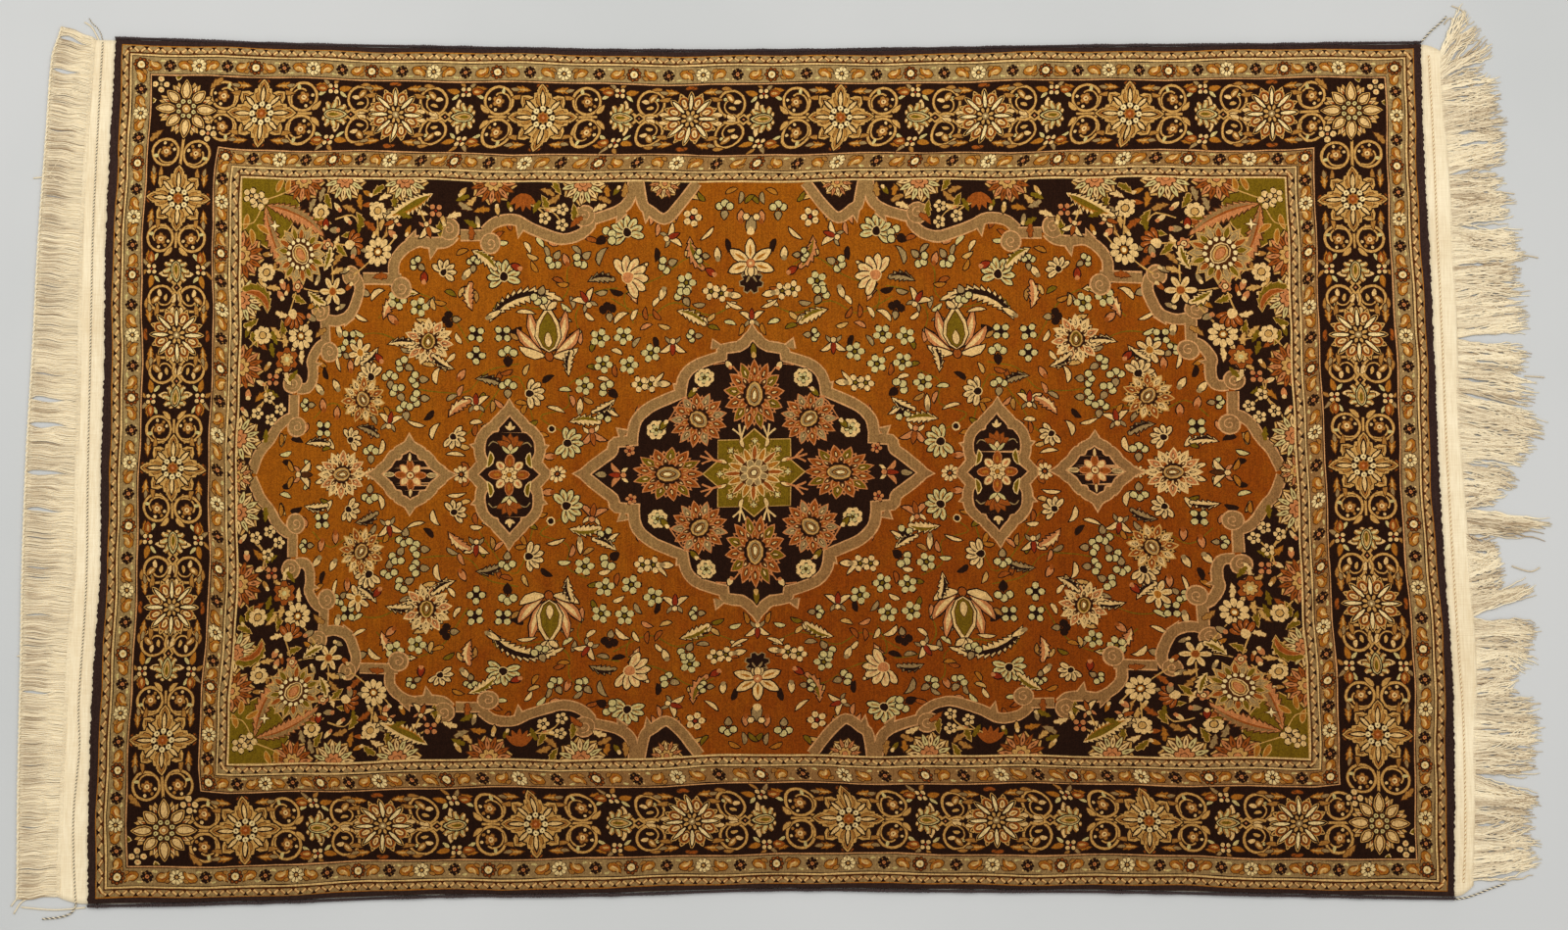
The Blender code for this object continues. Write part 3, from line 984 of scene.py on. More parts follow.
# %% Drawing the field
for quarter in page.quarters():
    for vine in VINES:
        stem(quarter, vine, 1.7, "olive", 5)
    quarter.draw(*[((x, y, turn), petal(17, 6.5, 0.7, 0.9, 50), dye, "ink", 1.1)
                   for x, y, turn, dye in field_leaves])
    for kind, x, y, turn in FIELD_QUARTER:
        motif, *how = MOTIFS[kind]
        motif(quarter.at((x, y), turn, 1.14), *how)

# the motifs that stand on the rug's two axes
halves = page, page.at(turn=180)
for half in halves:
    star_lotus(half.at(304j, 90))
    lily(half.at(221j, 90), 22)
    bud(half.at(345j, 90), 24, "grey", "cream", 14)
    half.draw(*[((x, 368), ring(6, 4.5), "cream", "ink", 1.2) for x in (-7, 7)])
    daisy(half.at(-410), 12.5, 9, "cream", "brick")
    daisy(half.at(-275), 12.5, 9, "cream", "brick")
    palmette(half.at(-583, 180), 0.88, "grey", ("cream", "rose"), 12, "cream")
    lily(half.at(-648), 24, "cream", "bark", "rose")
    daisy(half.at(-540), 9, 8)
print("field outlines:", len(chart.outlines))

# %% [markdown]
# ## Medallion, cartouches and pendants
#
# The medallion is a lobed shape in near-black wool, with a grey-brown ribbon round it
# that thin light lines edge. The same ribbon frames two cartouches and two small
# pendants on the long axis, so one function draws the frame round any outline.


# %% Framed shapes on the long axis
def mirrored(runs):
    """A whole outline from smooth runs of points that lead from its top to its right tip."""
    quarter = [spot for run in runs for spot in smooth(marks(run), 3)[:-1]] + [complex(*runs[-1][-1])]
    right = quarter + [z.conjugate() for z in quarter[-2::-1]]
    return right + [-z for z in right[1:-1]]


def framed(pen, outline, width, spurs):
    """A dark shape inside a ribbon with a light line along both its edges."""
    for wide, dye, spur in ((2 * width + 6.4, "blush", [-6 - 9j, 9 + 0j, -6 + 9j]),
                            (2 * width + 2.6, "taupe", [-8 - 7.5j, 5.5 + 0j, -8 + 7.5j])):
        pen.stroke(outline + outline[:2], wide, dye)
        pen.draw(*[(spot, ring(8, wide / 2, 22.5), dye) for spot in outline])
        for place in spurs:
            for quarter in pen.quarters():
                quarter.draw((place, spur, dye))
    pen.lay(outline, "blush")
    pen.lay(grown(outline, -2.0), "ink")


chart.region("pile_medallion")
framed(page, mirrored((
    ((0, 194), (8, 184), (20, 177)), ((20, 177), (40, 175)), ((40, 175), (41, 164)),
    ((41, 164), (60, 160), (82, 151), (93, 136), (96, 113)),
    ((96, 113), (119, 104), (143, 93), (158, 78), (162, 61), (162, 45)), ((162, 45), (189, 42)),
    ((189, 42), (192, 30), (207, 18), (230, 0)),
)), 12.0, ((108, 127, 50), (186, 64, 40), (56, 190, 70), (0, 210, 90), (246, 0, 0)))

for half in halves:
    palmette(half.at(113j, 90), 1.04, stretch=1.22)
    palmette(half.at(119, 180), 0.98, stretch=1.26)
    bud(half.at(168j, 90), 20, "olive", "gold", 9)
    lily(half.at(184), 24, "rose", "red", "cream")
    half.draw((206, petal(16, 9), "grey", "ink"))
for quarter in page.quarters():
    palmette(quarter.at(78 + 78j, 224), 0.98, "grey", ("brick", "grey"))
    for x, y, bud_x, bud_y in ((70, 139, 12, -16), (136, 66, -14, 12)):
        stem(quarter, ((x, y), (x * 0.7 + 28, y * 0.7 + 28), (104, 104)), 1.8, "rose", 3)
        blossom(quarter.at((x, y)), 15, 8, "cream", "grey")
        blossom(quarter.at((x, y), 22), 8.5, 5, "pale")
        bud(quarter.at((x + bud_x, y + bud_y), -52), 15, "olive", "cream")
    stem(quarter, ((20, 140), (36, 158), (58, 158)), 1.8, "rose", 3)
    blossom(quarter.at(172 + 36j, 30), 8.5, 5, "rose", "red")
    bud(quarter.at(34 + 152j, 60), 12, "cream", "rose")
print("medallion outlines:", len(chart.outlines) - chart.regions[-1][0])

# %% The olive star in the middle
TWIGS = (((0, 0), (14, 0), (31, 1)), ((12, 0), (20, 5), (27, 9)), ((14, 0), (21, -5), (26, -9)))
square = marks(((50, 47), (-50, 47), (-50, -47), (50, -47)))
diamond = marks(((68, 0), (0, 62), (-68, 0), (0, -62)))
page.draw((grown([50 + 0j] + square, 1.2), "gold"), (grown(diamond, 1.8), "gold"),
          (square, "olive"), (diamond, "olive"),
          (8, 0, (18, saw_leaf(30, 13, 4, 0, 0.5), "olive", "gold", 1.3),
           (18, petal(22, 6, 0.6, 0.8), "brick", "cream", 1.2), (46, star(4, 2.2, 5.0), "pale", "bark", 0.8)),
          (8, 22.5, (16, petal(20, 7, 0.6, 0.8), "ochre", "cream", 1.2),
           (40, petal(13, 5, 0.7), "cream", "bark", 0.9)))
for quarter in page.quarters():
    for x, y, turn, dye in ((16, 40, 78, "cream"), (44, 17, 14, "rose")):
        for points in TWIGS:
            stem(quarter.at((x, y), turn), points, 2.6, dye, 2)
page.draw((ring(16, 20), "bark"), (8, 22.5, (8, petal(11.5, 7.5, 0.6, 0.5), "grey", "cream", 0.9)),
          (ring(10, 9), "taupe", "cream", 1.4), (ring(6, 4), "ivory", "bark", 1.0))
print("with the star:", len(chart.outlines) - chart.regions[-1][0])

# %% Cartouches and pendants
CARTOUCHE = mirrored((
    ((0, 86), (6, 78), (12, 72), (17, 66)), ((17, 66), (18, 62), (24, 61)),
    ((24, 61), (33, 51), (36, 38), (34, 25), (27, 17)), ((27, 17), (45, 0)),
))
PENDANT = mirrored((
    ((0, 37), (5, 33), (12, 30)), ((12, 30), (14, 24), (21, 23)),
    ((21, 23), (25, 17), (28, 12)), ((28, 12), (35, 6), (43, 0)),
))
for half in halves:
    cartouche = half.at(-343)
    framed(cartouche, CARTOUCHE, 11.0, ((48, 40, 20), (0, 101, 90)))
    for quarter in cartouche.quarters():
        quarter.draw(((27, 30, 250), petal(20, 6, 0.7, 0.8, 60), "olive", "cream", 1.2))
        stem(quarter, ((14, 42), (24, 46), (30, 40)), 1.6, "grey", 3)
    cartouche.draw(
        (2, 90, (38, ([-64, -32, 0, 32, 64], (petal(20, 10), "brick", "bark", 0.7))),
         (30, petal(13, 7, 0.7, 0.8), "cream", "ink", 0.9),
         (30, ("both", ((0, 0, 60), petal(15, 5, 0.7, 0.8, -20), "pale", "ink", 0.9),
               ((33, 0, 50), petal(9, 4.5, 0.7, 0.8), "cream"))),
         (62, petal(13, 5.5, 0.7, 0.8), "cream")),
        (8, 0, (9, (petal(19, 11, 0.6, 0.6), petal(16, 11, 0.6, 0.6)),
                ("brick", "cream"), ("rose", "bark"), 1.1),
         (13, petal(9, 4, 0.6, 0.6), ("ochre", "rose"))),
        (lobed(8, 8.5, 11.5), "cream", "bark", 1.0), (8, 0, (6.5, ring(4, 1.4), "ink")),
        (ring(6, 3.2), "ochre", "bark", 0.9))
    pendant = half.at(-482)
    framed(pendant, PENDANT, 11.0, ((58, 0, 0), (0, 52, 90)))
    pendant.draw(
        (8, 0, (6, (petal(16, 8.6, 0.6, 0.6), petal(13, 8.6, 0.6, 0.6)), ("brick", "cream"), "rose", 1.0)),
        (ring(8, 5), "cream", "bark", 1.0), (ring(5, 2.4), "brick"),
        (2, 0, (24, petal(14, 5.5), "grey", "cream", 0.9)),
        (2, 90, (20, petal(12, 4.5), "cream", "bark", 0.9)))
print("with the medallion:", len(chart.outlines))

# %% [markdown]
# ## Spandrels
#
# Each corner of the field is cut off by the same grey-brown ribbon, here broken into
# scrolls. Beyond it the ground is near-black. The ribbon is a chain of short pieces
# along a smooth line, and each scroll's boss is a round with a spiral line in it.

# %% The spandrel ground and its ribbon
RIBBONS = (
    ((721, 4), (710, 31), (696, 49), (684, 69), (669, 80), (656, 78)),
    ((661, 83), (661, 115)),
    ((656, 124), (641, 125), (634, 136), (634, 153), (636, 166), (623, 185), (608, 189)),
    ((612, 190), (612, 220)),
    ((617, 226), (595, 221), (573, 229), (561, 251), (557, 268), (562, 281)),
    ((551, 279), (494, 279)),
    ((505, 285), (504, 303), (491, 320), (473, 330), (454, 329), (432, 332), (421, 342)),
    ((413, 341), (369, 341)),
    ((378, 346), (363, 359), (337, 363), (315, 353), (291, 344),
     (266, 337), (243, 342), (228, 355), (228, 366)),
    ((222, 364), (190, 374), (171, 390), (165, 424)),
    ((160, 424), (153, 386), (143, 376), (122, 364), (102, 381), (77, 417)),
)
BOSSES = (
    # place, radius and which way the spiral turns
    (656, 68, 12, 1), (664, 132, 12, -1), (607, 177, 12, 1), (619, 236, 12, -1),
    (570, 283, 11, 1), (494, 268, 12, -1), (430, 349, 13, 1), (370, 330, 12, -1),
    (236, 369, 13, 1),
)
SPURS = ((706, 36, 160), (634, 158, 170), (573, 226, -60), (482, 332, 110), (452, 322, -80),
         (327, 352, -80), (184, 370, -60), (147, 372, -80))
GROUND = (
    (742, -2), (721, 3), (710, 31), (696, 49), (684, 69), (669, 84), (661, 100), (664, 118), (650, 122),
    (638, 126), (634, 150), (636, 166), (623, 187), (612, 200), (610, 225), (595, 222), (573, 230),
    (560, 252), (558, 276), (530, 280), (505, 283), (504, 303), (491, 320), (473, 330), (454, 329),
    (432, 332), (418, 341), (390, 341), (372, 350), (360, 360), (337, 363), (315, 353), (291, 344),
    (266, 337), (243, 342), (228, 355), (215, 366), (190, 374), (171, 390), (166, 430), (760, 430),
)
GROUND_TIP = ((158, 430), (153, 388), (143, 378), (122, 366), (102, 383), (78, 430))
print("pieces of ribbon:", len(RIBBONS))


# %% Drawing the ribbon
def boss(pen, radius, way):
    """A scroll's round end: a light line that hooks inwards on a grey-brown disc."""
    pen.draw((ring(16, radius + 2.4), "blush"), (ring(16, radius + 0.9), "taupe"))
    spiral = [polar(radius * (0.70 - 0.58 * n / 12), way * (72 + 34.5 * n)) for n in range(13)]
    pen.stroke(spiral, 1.4, "blush")


chart.region("pile_spandrels")
ribbons = [smooth(marks(run), 4) if len(run) > 2 else [*cut_evenly(*marks(run), 3), complex(*run[1])]
           for run in RIBBONS]
for quarter in page.quarters():
    quarter.draw((marks(GROUND), "ink"), (marks(GROUND_TIP), "ink"))
    quarter.draw(*[((x, y), ring(16, radius + 3.2), "blush") for x, y, radius, _ in BOSSES])
    for wide, dye, spur in ((16.5, "blush", [-4 - 9j, 16 + 0j, -4 + 9j]),
                            (12.5, "taupe", [-6 - 7j, 12.5 + 0j, -6 + 7j])):
        for line in ribbons:
            quarter.stroke(line, wide, dye)
        quarter.draw(*[(place, spur, dye) for place in SPURS])
    for x, y, radius, way in BOSSES:
        boss(quarter.at((x, y)), radius, way)
print("with the ribbon:", len(chart.outlines))

# %% [markdown]
# ## Flowers of the spandrels
#
# On the dark ground the flowers are larger and lighter: a great dotted palmette on an
# olive patch in the corner, daisies, feathered leaves, and half palmettes that grow out
# of the inner border.

# %% Spandrel flowers
SPANDREL_STEMS = (
    ((533, 362), (530, 335), (529, 320)), ((507, 352), (522, 335), (529, 318)),
    ((529, 312), (548, 296), (566, 284)), ((505, 335), (515, 322), (527, 316)),
    ((620, 358), (618, 336), (604, 324)), ((604, 324), (600, 296), (600, 268)),
    ((600, 262), (630, 262), (657, 268)), ((657, 268), (664, 246), (672, 226)),
    ((705, 287), (686, 292), (670, 276)), ((712, 199), (680, 192), (653, 199)),
    ((653, 199), (664, 182), (674, 168)), ((653, 205), (634, 226), (622, 240)),
    ((735, 176), (722, 190), (712, 198)), ((735, 60), (720, 92), (706, 108), (700, 140)),
    ((700, 110), (690, 100), (682, 94)), ((706, 106), (712, 96), (716, 88)),
    ((694, 137), (706, 130), (704, 118)), ((448, 373), (470, 384), (500, 392)),
    ((461, 352), (472, 374), (484, 388)), ((325, 392), (310, 382), (290, 380), (262, 384)),
    ((310, 384), (296, 374), (292, 366)), ((290, 380), (276, 370), (268, 358)),
    ((573, 325), (596, 326), (607, 325)), ((560, 352), (572, 366), (597, 360)),
)
SPANDREL_QUARTER = listed("""
half 650 417 -90, half_light 585 417 -90, half_light 492 417 -90, half 368 417 -90, half_light 238 417 -90,
half_small 122 415 -90, half 742 311 180, half_light 742 250 180, half 742 153 180, half_light 742 52 180,
half_small 742 -1 180, rust_palm 325 400 -90, blossom8 533 372 0, lily 507 357 -20, big_daisy 529 315 0,
big_daisy 653 200 0, star 600 262 90, blossom8 620 369 0, blossom8 705 288 0, blossom8 712 199 0,
gold_flower 675 166 0, rose_blossom 694 137 0, rose_blossom 448 373 0, lily 461 352 250,
long_saw 452 397 -32, arch 604 354 20, grey_bud 590 345 0, lily 632 300 120, fan_red 573 325 160,
small_gold 607 325 0, small_gold 657 268 0, olive_leaf 614 290 130, olive_leaf 640 262 230,
grey_bud 640 229 210, rose_bud2 682 276 250, rose_bud2 680 250 60, arch 704 232 100, fan_red 665 231 250,
red_bud 611 347 90, olive_tip 482 362 10, olive_tip 560 340 90, grey_bud 567 308 100, rose_bud2 505 335 40,
olive_tip 695 168 70, olive_tip 658 152 300, olive_tip 690 186 60, olive_tip 684 112 20,
olive_tip 703 66 260, olive_tip 310 372 110, olive_tip 420 388 150, blossom 716 386 0, s_blossom 699 111 0,
s_blossom 682 94 0, s_blossom 716 88 0, s_blossom 696 79 0, s_blossom 293 366 0, s_blossom 268 379 0,
s_blossom 268 357 0, rose_bud2 730 108 90, olive_tip 408 362 200""")
SPANDREL_MOTIFS = {
    "half": (half_palmette, 1.05, ("rose", "brick")),
    "half_light": (half_palmette, 1.05, ("cream", "pale"), 8, "rose"),
    "half_small": (half_palmette, 0.7, ("cream", "rose"), 7),
    "rust_palm": (Pen.draw, ([-50, -25, 0, 25, 50], (petal(26, 9, 0.7), "brick"))),
    "blossom8": (blossom, 14, 7, "cream", "gold", None, (ring(7, 5), "gold", "ink", 1.0)),
    "big_daisy": (daisy, 20, 10, "cream", "ochre", "bark", (ring(6, 3.4), "ivory", "ochre", 1.5)),
    "star": (fan, 21, 6, 300, "cream", "ochre", "gold", (ring(7, 5.5), "brick", "gold", 1.2)),
    "gold_flower": (Pen.draw, (lobed(6, 12, 18), "brick", "ink"), (lobed(8, 7, 10), "gold", "bark", 1.0),
                    (ring(6, 4), "pale")),
    "rose_blossom": (blossom, 11, 4, "rose", "red"),
    "small_gold": (Pen.draw, (lobed(5, 6, 9), "rose", "ink"), (ring(6, 4), "cream", "bark", 1.0),
                   (ring(4, 1.5), "red")),
    "lily": (lily, 21, "cream", "brick", "rose"),
    "long_saw": (flame, 74, 8, 25, "cream", "ochre", 11, (6, petal(58, 9, 0.7, 0.9, 7), "olive")),
    "arch": (Pen.draw, (saw_leaf(56, 21, 7, -110, 0.3), "olive", "gold", 0.8),
             ((4, 0, -10), petal(46, 7, 0.7, 0.8, -105, 7), "brick", "rose", 0.9)),
    "grey_bud": (bud, 15, "grey", "rose", 9),
    "rose_bud2": (bud, 14, "rose", "cream", 9),
    "red_bud": (bud, 14, "red", "cream", 9),
    "fan_red": (fan, 22, 5, 110, "brick", "cream", "rose"),
    "olive_leaf": (flame, 34, -40, 17, "cream", "olive", 5),
    "olive_tip": (Pen.lay, saw_leaf(20, 10, 3, 15, 0.4), "olive"),
    "blossom": (blossom, 14, 5, "cream", "grey"),
    "s_blossom": (blossom, 9.5, 5, "cream", "ink", None, (ring(5, 1.0), "cream")),
}
CORNER_PATCH = ((742, 417), (742, 330), (722, 333), (704, 322),
                (686, 330), (668, 350), (655, 372), (660, 417))
SPANDREL_REACHES = {"half": 36, "big_daisy": 24, "star": 25, "arch": 24, "long_saw": 30, "rust_palm": 26}
print("flowers in a spandrel:", len(SPANDREL_QUARTER))


# %% Small leaves of the spandrels
def in_spandrel(x, y):
    """Whether a spot lies on the dark ground, counting how often a ray crosses its outline."""
    inside = False
    for (ax, ay), (bx, by) in zip(GROUND, GROUND[1:] + GROUND[:1]):
        if (ay > y) != (by > y) and x < ax + (y - ay) / (by - ay) * (bx - ax):
            inside = not inside
    return inside and not (x > 655 and y > 320)


spandrel_taken = [
    (complex(x, y), next((reach for word, reach in SPANDREL_REACHES.items() if kind.startswith(word)), 15))
    for kind, x, y, _ in SPANDREL_QUARTER
]
spandrel_taken += [(spot, 17) for run in RIBBONS for spot in marks(run)] + [(652 + 312j, 42)]
spandrel_leaves = scattered(150, 13.5, spandrel_taken, in_spandrel,
                            ("olive", "ochre", "gold", "brick", "tan", "olive", "grey", "cream"), 8)
print("small leaves in a spandrel:", len(spandrel_leaves))

# %% Drawing the spandrels
small_saw = saw_leaf(21, 10, 3, 35, 0.4)
for quarter in page.quarters():
    quarter.draw((marks(CORNER_PATCH), "olive", "gold", 1.3))
    for n, (x, y, turn, dye) in enumerate(spandrel_leaves):
        leaf = quarter.at((x, y), turn)
        if n % 3:
            leaf.draw((-9, small_saw, dye, "gold" if dye == "olive" else "bark", 0.8))
        else:
            bud(leaf.at(-7), 15, dye, "cream" if dye != "cream" else "rose", 7)
    for points in SPANDREL_STEMS:
        stem(quarter, points, 2.0, "gold", 3)
    for kind, x, y, turn in SPANDREL_QUARTER:
        motif, *how = SPANDREL_MOTIFS[kind]
        motif(quarter.at((x, y), turn), *how)
    for x, y, turn, bend, long in ((706, 378, 262, -28, 106), (704, 380, 188, 34, 98)):
        quarter.at((x, y), turn).draw(
            (saw_leaf(long, 23, 12, bend, 0.42), "rose", "bark", 1.2),
            (3, saw_leaf(long * 0.92, 19, 12, bend * 0.95, 0.4, (1.0, 0.12)), "taupe"),
            (4, petal(long * 0.86, 2.6, 0.7, 0.9, bend * 0.9, 8), "brick"))
    quarter.draw(*[(place, petal(20, 7, 0.7, 0.9, 30), "ochre", "gold", 0.9) for place in (
        (690, 400, 100), (728, 346, 250), (733, 366, 270), (674, 398, 80), (718, 352, 200))])
    for points in (((742, 352), (724, 356), (712, 376)), ((668, 404), (684, 396), (706, 388)),
                   ((736, 400), (722, 392), (712, 384))):
        stem(quarter, points, 1.6, "gold", 4)
    blossom(quarter.at(728 + 392j), 12, 5, "cream", "gold")
    quarter.draw(((692, 352), star(4, 2.5, 8), "ivory", "bark", 1.0))
    dotted_palmette(quarter.at(652 + 312j, 235))
print("with the spandrels:", len(chart.outlines))

# %% [markdown]
# ## Borders
#
# The borders are stripes with mitred corners. Each is laid over whatever reaches past
# its inner edge, so the half palmettes above are cut clean. A side pen stands in the
# middle of one stripe and one side, with +x along the side and +y outwards, and the
# repeats are loops along it.


# %% Stripes
def side_pens(depth):
    """One pen for each side of the rug at a depth from its edge, and the side's half length."""
    long, short = LENGTH_HALF - depth, WIDTH_HALF - depth
    return (
        (page.at(short * 1j), long, "long"), (page.at(long, -90), short, "short"),
        (page.at(short * -1j, 180), long, "long"), (page.at(-long, 90), short, "short"),
    )


def stripe(outer, inner, dye, trim=0.0):
    """A frame-shaped stripe between two depths, one mitred strip for each side."""
    spill = 0.0 if trim else 1.5
    for pen, half, kind in side_pens(outer):
        deep = inner - outer
        count = round(2 * half / 20)
        low = [complex(mix(-half + deep, half - deep, n / count), -deep) for n in range(count + 1)]
        ragged = trim and kind == "short"
        if ragged:
            half -= trim
            count = round(2 * half / 2.8)
        top = [complex(mix(-half - spill, half + spill, n / count),
                       random.uniform(-2.2, 0.5) if ragged else spill - trim) for n in range(count + 1)]
        pen.lay(low + top[::-1], dye)


def guard(outer, inner):
    """A narrow stripe: a light zigzag with a darker edge, between small dark triangles."""
    wide = (inner - outer) / 2
    for pen, half, kind in side_pens((outer + inner) / 2):
        count = round(2 * half / (18.6 if kind == "long" else 24.0))
        step = 2 * half / count
        zigzag = [complex(-half + n * step / 2, wide * (0.72 if n % 2 else -0.72))
                  for n in range(2 * count + 1)]
        for thick, dye in ((3.9, "brick"), (2.5, "cream")):
            for start, end in zip(zigzag, zigzag[1:]):
                pen.stroke([start, end], thick, dye)
        foot, top = complex(step * 0.2, wide * 0.96), wide * 0.02j
        for n in range(count):
            pen.draw((-half + (n + 0.5) * step, [top.conjugate(), foot, -foot.conjugate()], "ink"),
                     (-half + (n + 1) * step, [-foot, foot.conjugate(), top], "bark"))


# %% Small flower borders
def ring_flower(pen):
    pen.draw((lobed(9, 9.4, 11.4), "bark", "grey", 0.7), (9, 20, (8.2, ring(4, 1.6), "brick")),
             (ring(9, 5.2), "ivory", "ink", 1.0), (ring(5, 2.3), "gold"))


def dark_flower(pen):
    pen.draw((4, 0, (2.8, petal(6.4, 5.4, 0.5, 0.5), "ink")),
             (4, 45, (2.8, petal(6.0, 5.4, 0.5, 0.5), "ink")),
             (4, 45, (9.6, ring(4, 1.5), "cream")), (ring(8, 4.6), "ink"),
             (4, 22.5, (5.4, ring(4, 1.1), "tan")), (ring(6, 2.9), "rose"), (ring(4, 1.2), "bark"))


def light_flower(pen):
    daisy(pen, 10.2, 9, "ivory", "gold", "bark")


def comma(pen):
    """A curled leaf, its inner side lighter."""
    pen.at((-7, 1), -38, 0.76).draw(
        (petal(28, 17, 0.42, 1.0, 118, 7), "ochre", "bark", 0.9),
        ((2, 2.2, 4), petal(20, 9, 0.5, 1.0, 124, 6), "gold"),
        ((5, 1.0, 14), petal(17, 2.6, 0.6, 0.9, 118, 6), "cream"),
        ((9, -1, 30), petal(13, 3.2, 0.7, 0.9, 70), "brick"))
    pen.draw(((4, -7, 10), petal(10, 4.6, bend=40), "tan", "bark", 0.8),
             ((-6, 6, 150), petal(8, 3.4, bend=40), "pale"))


def minor_border(outer, inner, counts, crowd):
    """Three kinds of small flower in turn, with a comma leaf between each two."""
    flowers = (ring_flower, dark_flower, light_flower, dark_flower)
    for pen, half, kind in side_pens((outer + inner) / 2):
        count = counts[kind]
        places = [half * (place + crowd * math.sin(math.pi * place))
                  for place in (2 * n / count - 1 for n in range(count + 1))]
        for n in range(count):
            comma(pen.at((places[n] + places[n + 1]) / 2, 180 if n % 2 == 0 else 0, 1.0, n % 4 < 2))
        for n in range(count):
            flowers[min(n, count - n) % 4](pen.at(places[n]))


# %% Inner guard and inner small border
chart.region("pile_inner_border")
stripe(180, 198, "grey")
stripe(195.4, 197.6, "cream")
stripe(194.6, 195.4, "bark")
guard(184.2, 194.6)
stripe(183.4, 184.2, "bark")
stripe(181.2, 183.4, "cream")
stripe(180.0, 181.2, "ink")
stripe(156.0, 180.0, "taupe")
minor_border(159.2, 180.0, {"long": 32, "short": 22}, 0.06)
stripe(158.2, 159.4, "ink")
stripe(156.4, 158.2, "blush")
print("with the inner border:", len(chart.outlines))

# %% [markdown]
# ## The main border
#
# Two kinds of rosette take turns on a near-black stripe. Gold scrolls tie them: closed
# rings beside the pointed one, a palmette, then open scrolls beside the round one.
# Corners carry their own rosette.


# %% Scrolls
def ribbon(pen, line, width):
    """A gold line with a brown edge."""
    pen.stroke(line, width * 0.78 + 1.6, "bark")
    pen.stroke(line, width * 0.78, "gold")


def arc(radius, start, end, steps, shrink=1.0):
    return [polar(radius * mix(1.0, shrink, n / steps), mix(start, end, n / steps)) for n in range(steps + 1)]


def closed_scroll(pen, radius):
    """A gold ring that curls inwards round a small flower."""
    pen.draw((ring(20, radius + 1.6), "bark"), (ring(20, radius + 0.7), "gold"),
             (ring(20, radius - 2.7), "bark"), (ring(20, radius - 3.4), "ink"))
    ribbon(pen, arc(radius * 0.86, 215, 60, 9, 0.5), 2.6)
    pen.draw((1 - 1j, (lobed(5, 5.5, 8.4), "tan", "bark", 1.0), (ring(6, 4.2), "cream", "brick", 0.8),
              (ring(4, 1.6), "bark")),
             *[(polar(radius * 0.66, turn), ring(6, 2.4), dye)
               for turn, dye in ((290, "cream"), (325, "tan"), (10, "cream"))])
    pen.at(polar(radius * 0.55, 120), 95).lay(petal(9, 5, 0.5, 0.8), "pale")


def open_scroll(pen, radius):
    """A gold scroll that opens towards the round rosette and ends in a leaf."""
    line = arc(radius, 245, -70, 16)
    ribbon(pen, line, 4.2)
    pen.at(line[-1], 175).lay(petal(14, 7, 0.5, 0.8, 40), "cream", "bark", 0.8)
    ribbon(pen, arc(radius * 0.85, 262, 400, 8, 0.4), 2.4)
    pen.draw(((-2, 2, 70), petal(15, 8, 0.6, 0.7, -40), "tan", "bark", 0.8),
             ((-1, 4, 66), petal(9, 3.6, 0.6, 0.7, -40), "cream"),
             ((-3, 1, 150), petal(11, 6, 0.6, 0.7, 40), "cream", "bark", 0.8),
             ((4, -6, 170), petal(11, 5, 0.6, 0.7, 40), "gold"), ((9, 6, 20), ring(6, 2.6), "pale"))


# %% Palmettes, leaves and ties of the main border
def border_palmette(pen):
    """Grows along -x, towards the closed rings."""
    pen.draw(("both", *[([turn], (3, petal(length - 3, 9, 0.6, 0.7, -18), "tan", "ink", 1.0),
                         (6, petal(length - 9, 4.4, 0.6, 0.7, -18), "pale"),
                         (length - 3, ring(5, 2.2), "cream"))
                        for turn, length in ((150, 15), (115, 19), (75, 22), (35, 25))]),
             (-10, petal(32, 15, 0.6, 0.8), "pale", "ink", 1.3),
             (-7, petal(24, 9.5, 0.6, 0.8), "gold", "bark", 1.0), (-4, petal(15, 5, 0.6, 0.8), "olive"))


def side_blossom(pen):
    """A small flower with curled petals near the stripe's edge."""
    pen.draw(((-9, 0, 180), petal(16, 10), "brick", "bark", 0.8), ((-11, 0, 180), petal(10, 4), "gold"),
             (9, petal(18, 8, bend=20), "ochre", "bark", 0.8),
             ((-4, 5, 150), petal(15, 5, bend=-30), "grey", "bark", 0.8),
             ((2, 7, 60), petal(12, 5, bend=-30), "tan", "bark", 0.8))
    blossom(pen, 9.0, 4, "cream", "red")
    pen.draw(((10, -4, -40), petal(12, 5, 0.6, 0.8), "pale"))


def edge_leaves(pen):
    """Small leaves in the corners round a rosette."""
    for quarter in pen.quarters():
        quarter.draw(((17, 38, 10), saw_leaf(25, 10, 4, -20, 0.4), "ochre", "bark", 0.8),
                     ((20, 38, 8), petal(17, 3, bend=-15), "gold"),
                     ((27, 30, -22), petal(18, 6, bend=30), "tan", "bark", 0.8),
                     ((33, 38, 4), petal(12, 5, bend=10), "grey", "bark", 0.8),
                     ((8, 44, 160), petal(13, 5, bend=20), "brick", "bark", 0.8))


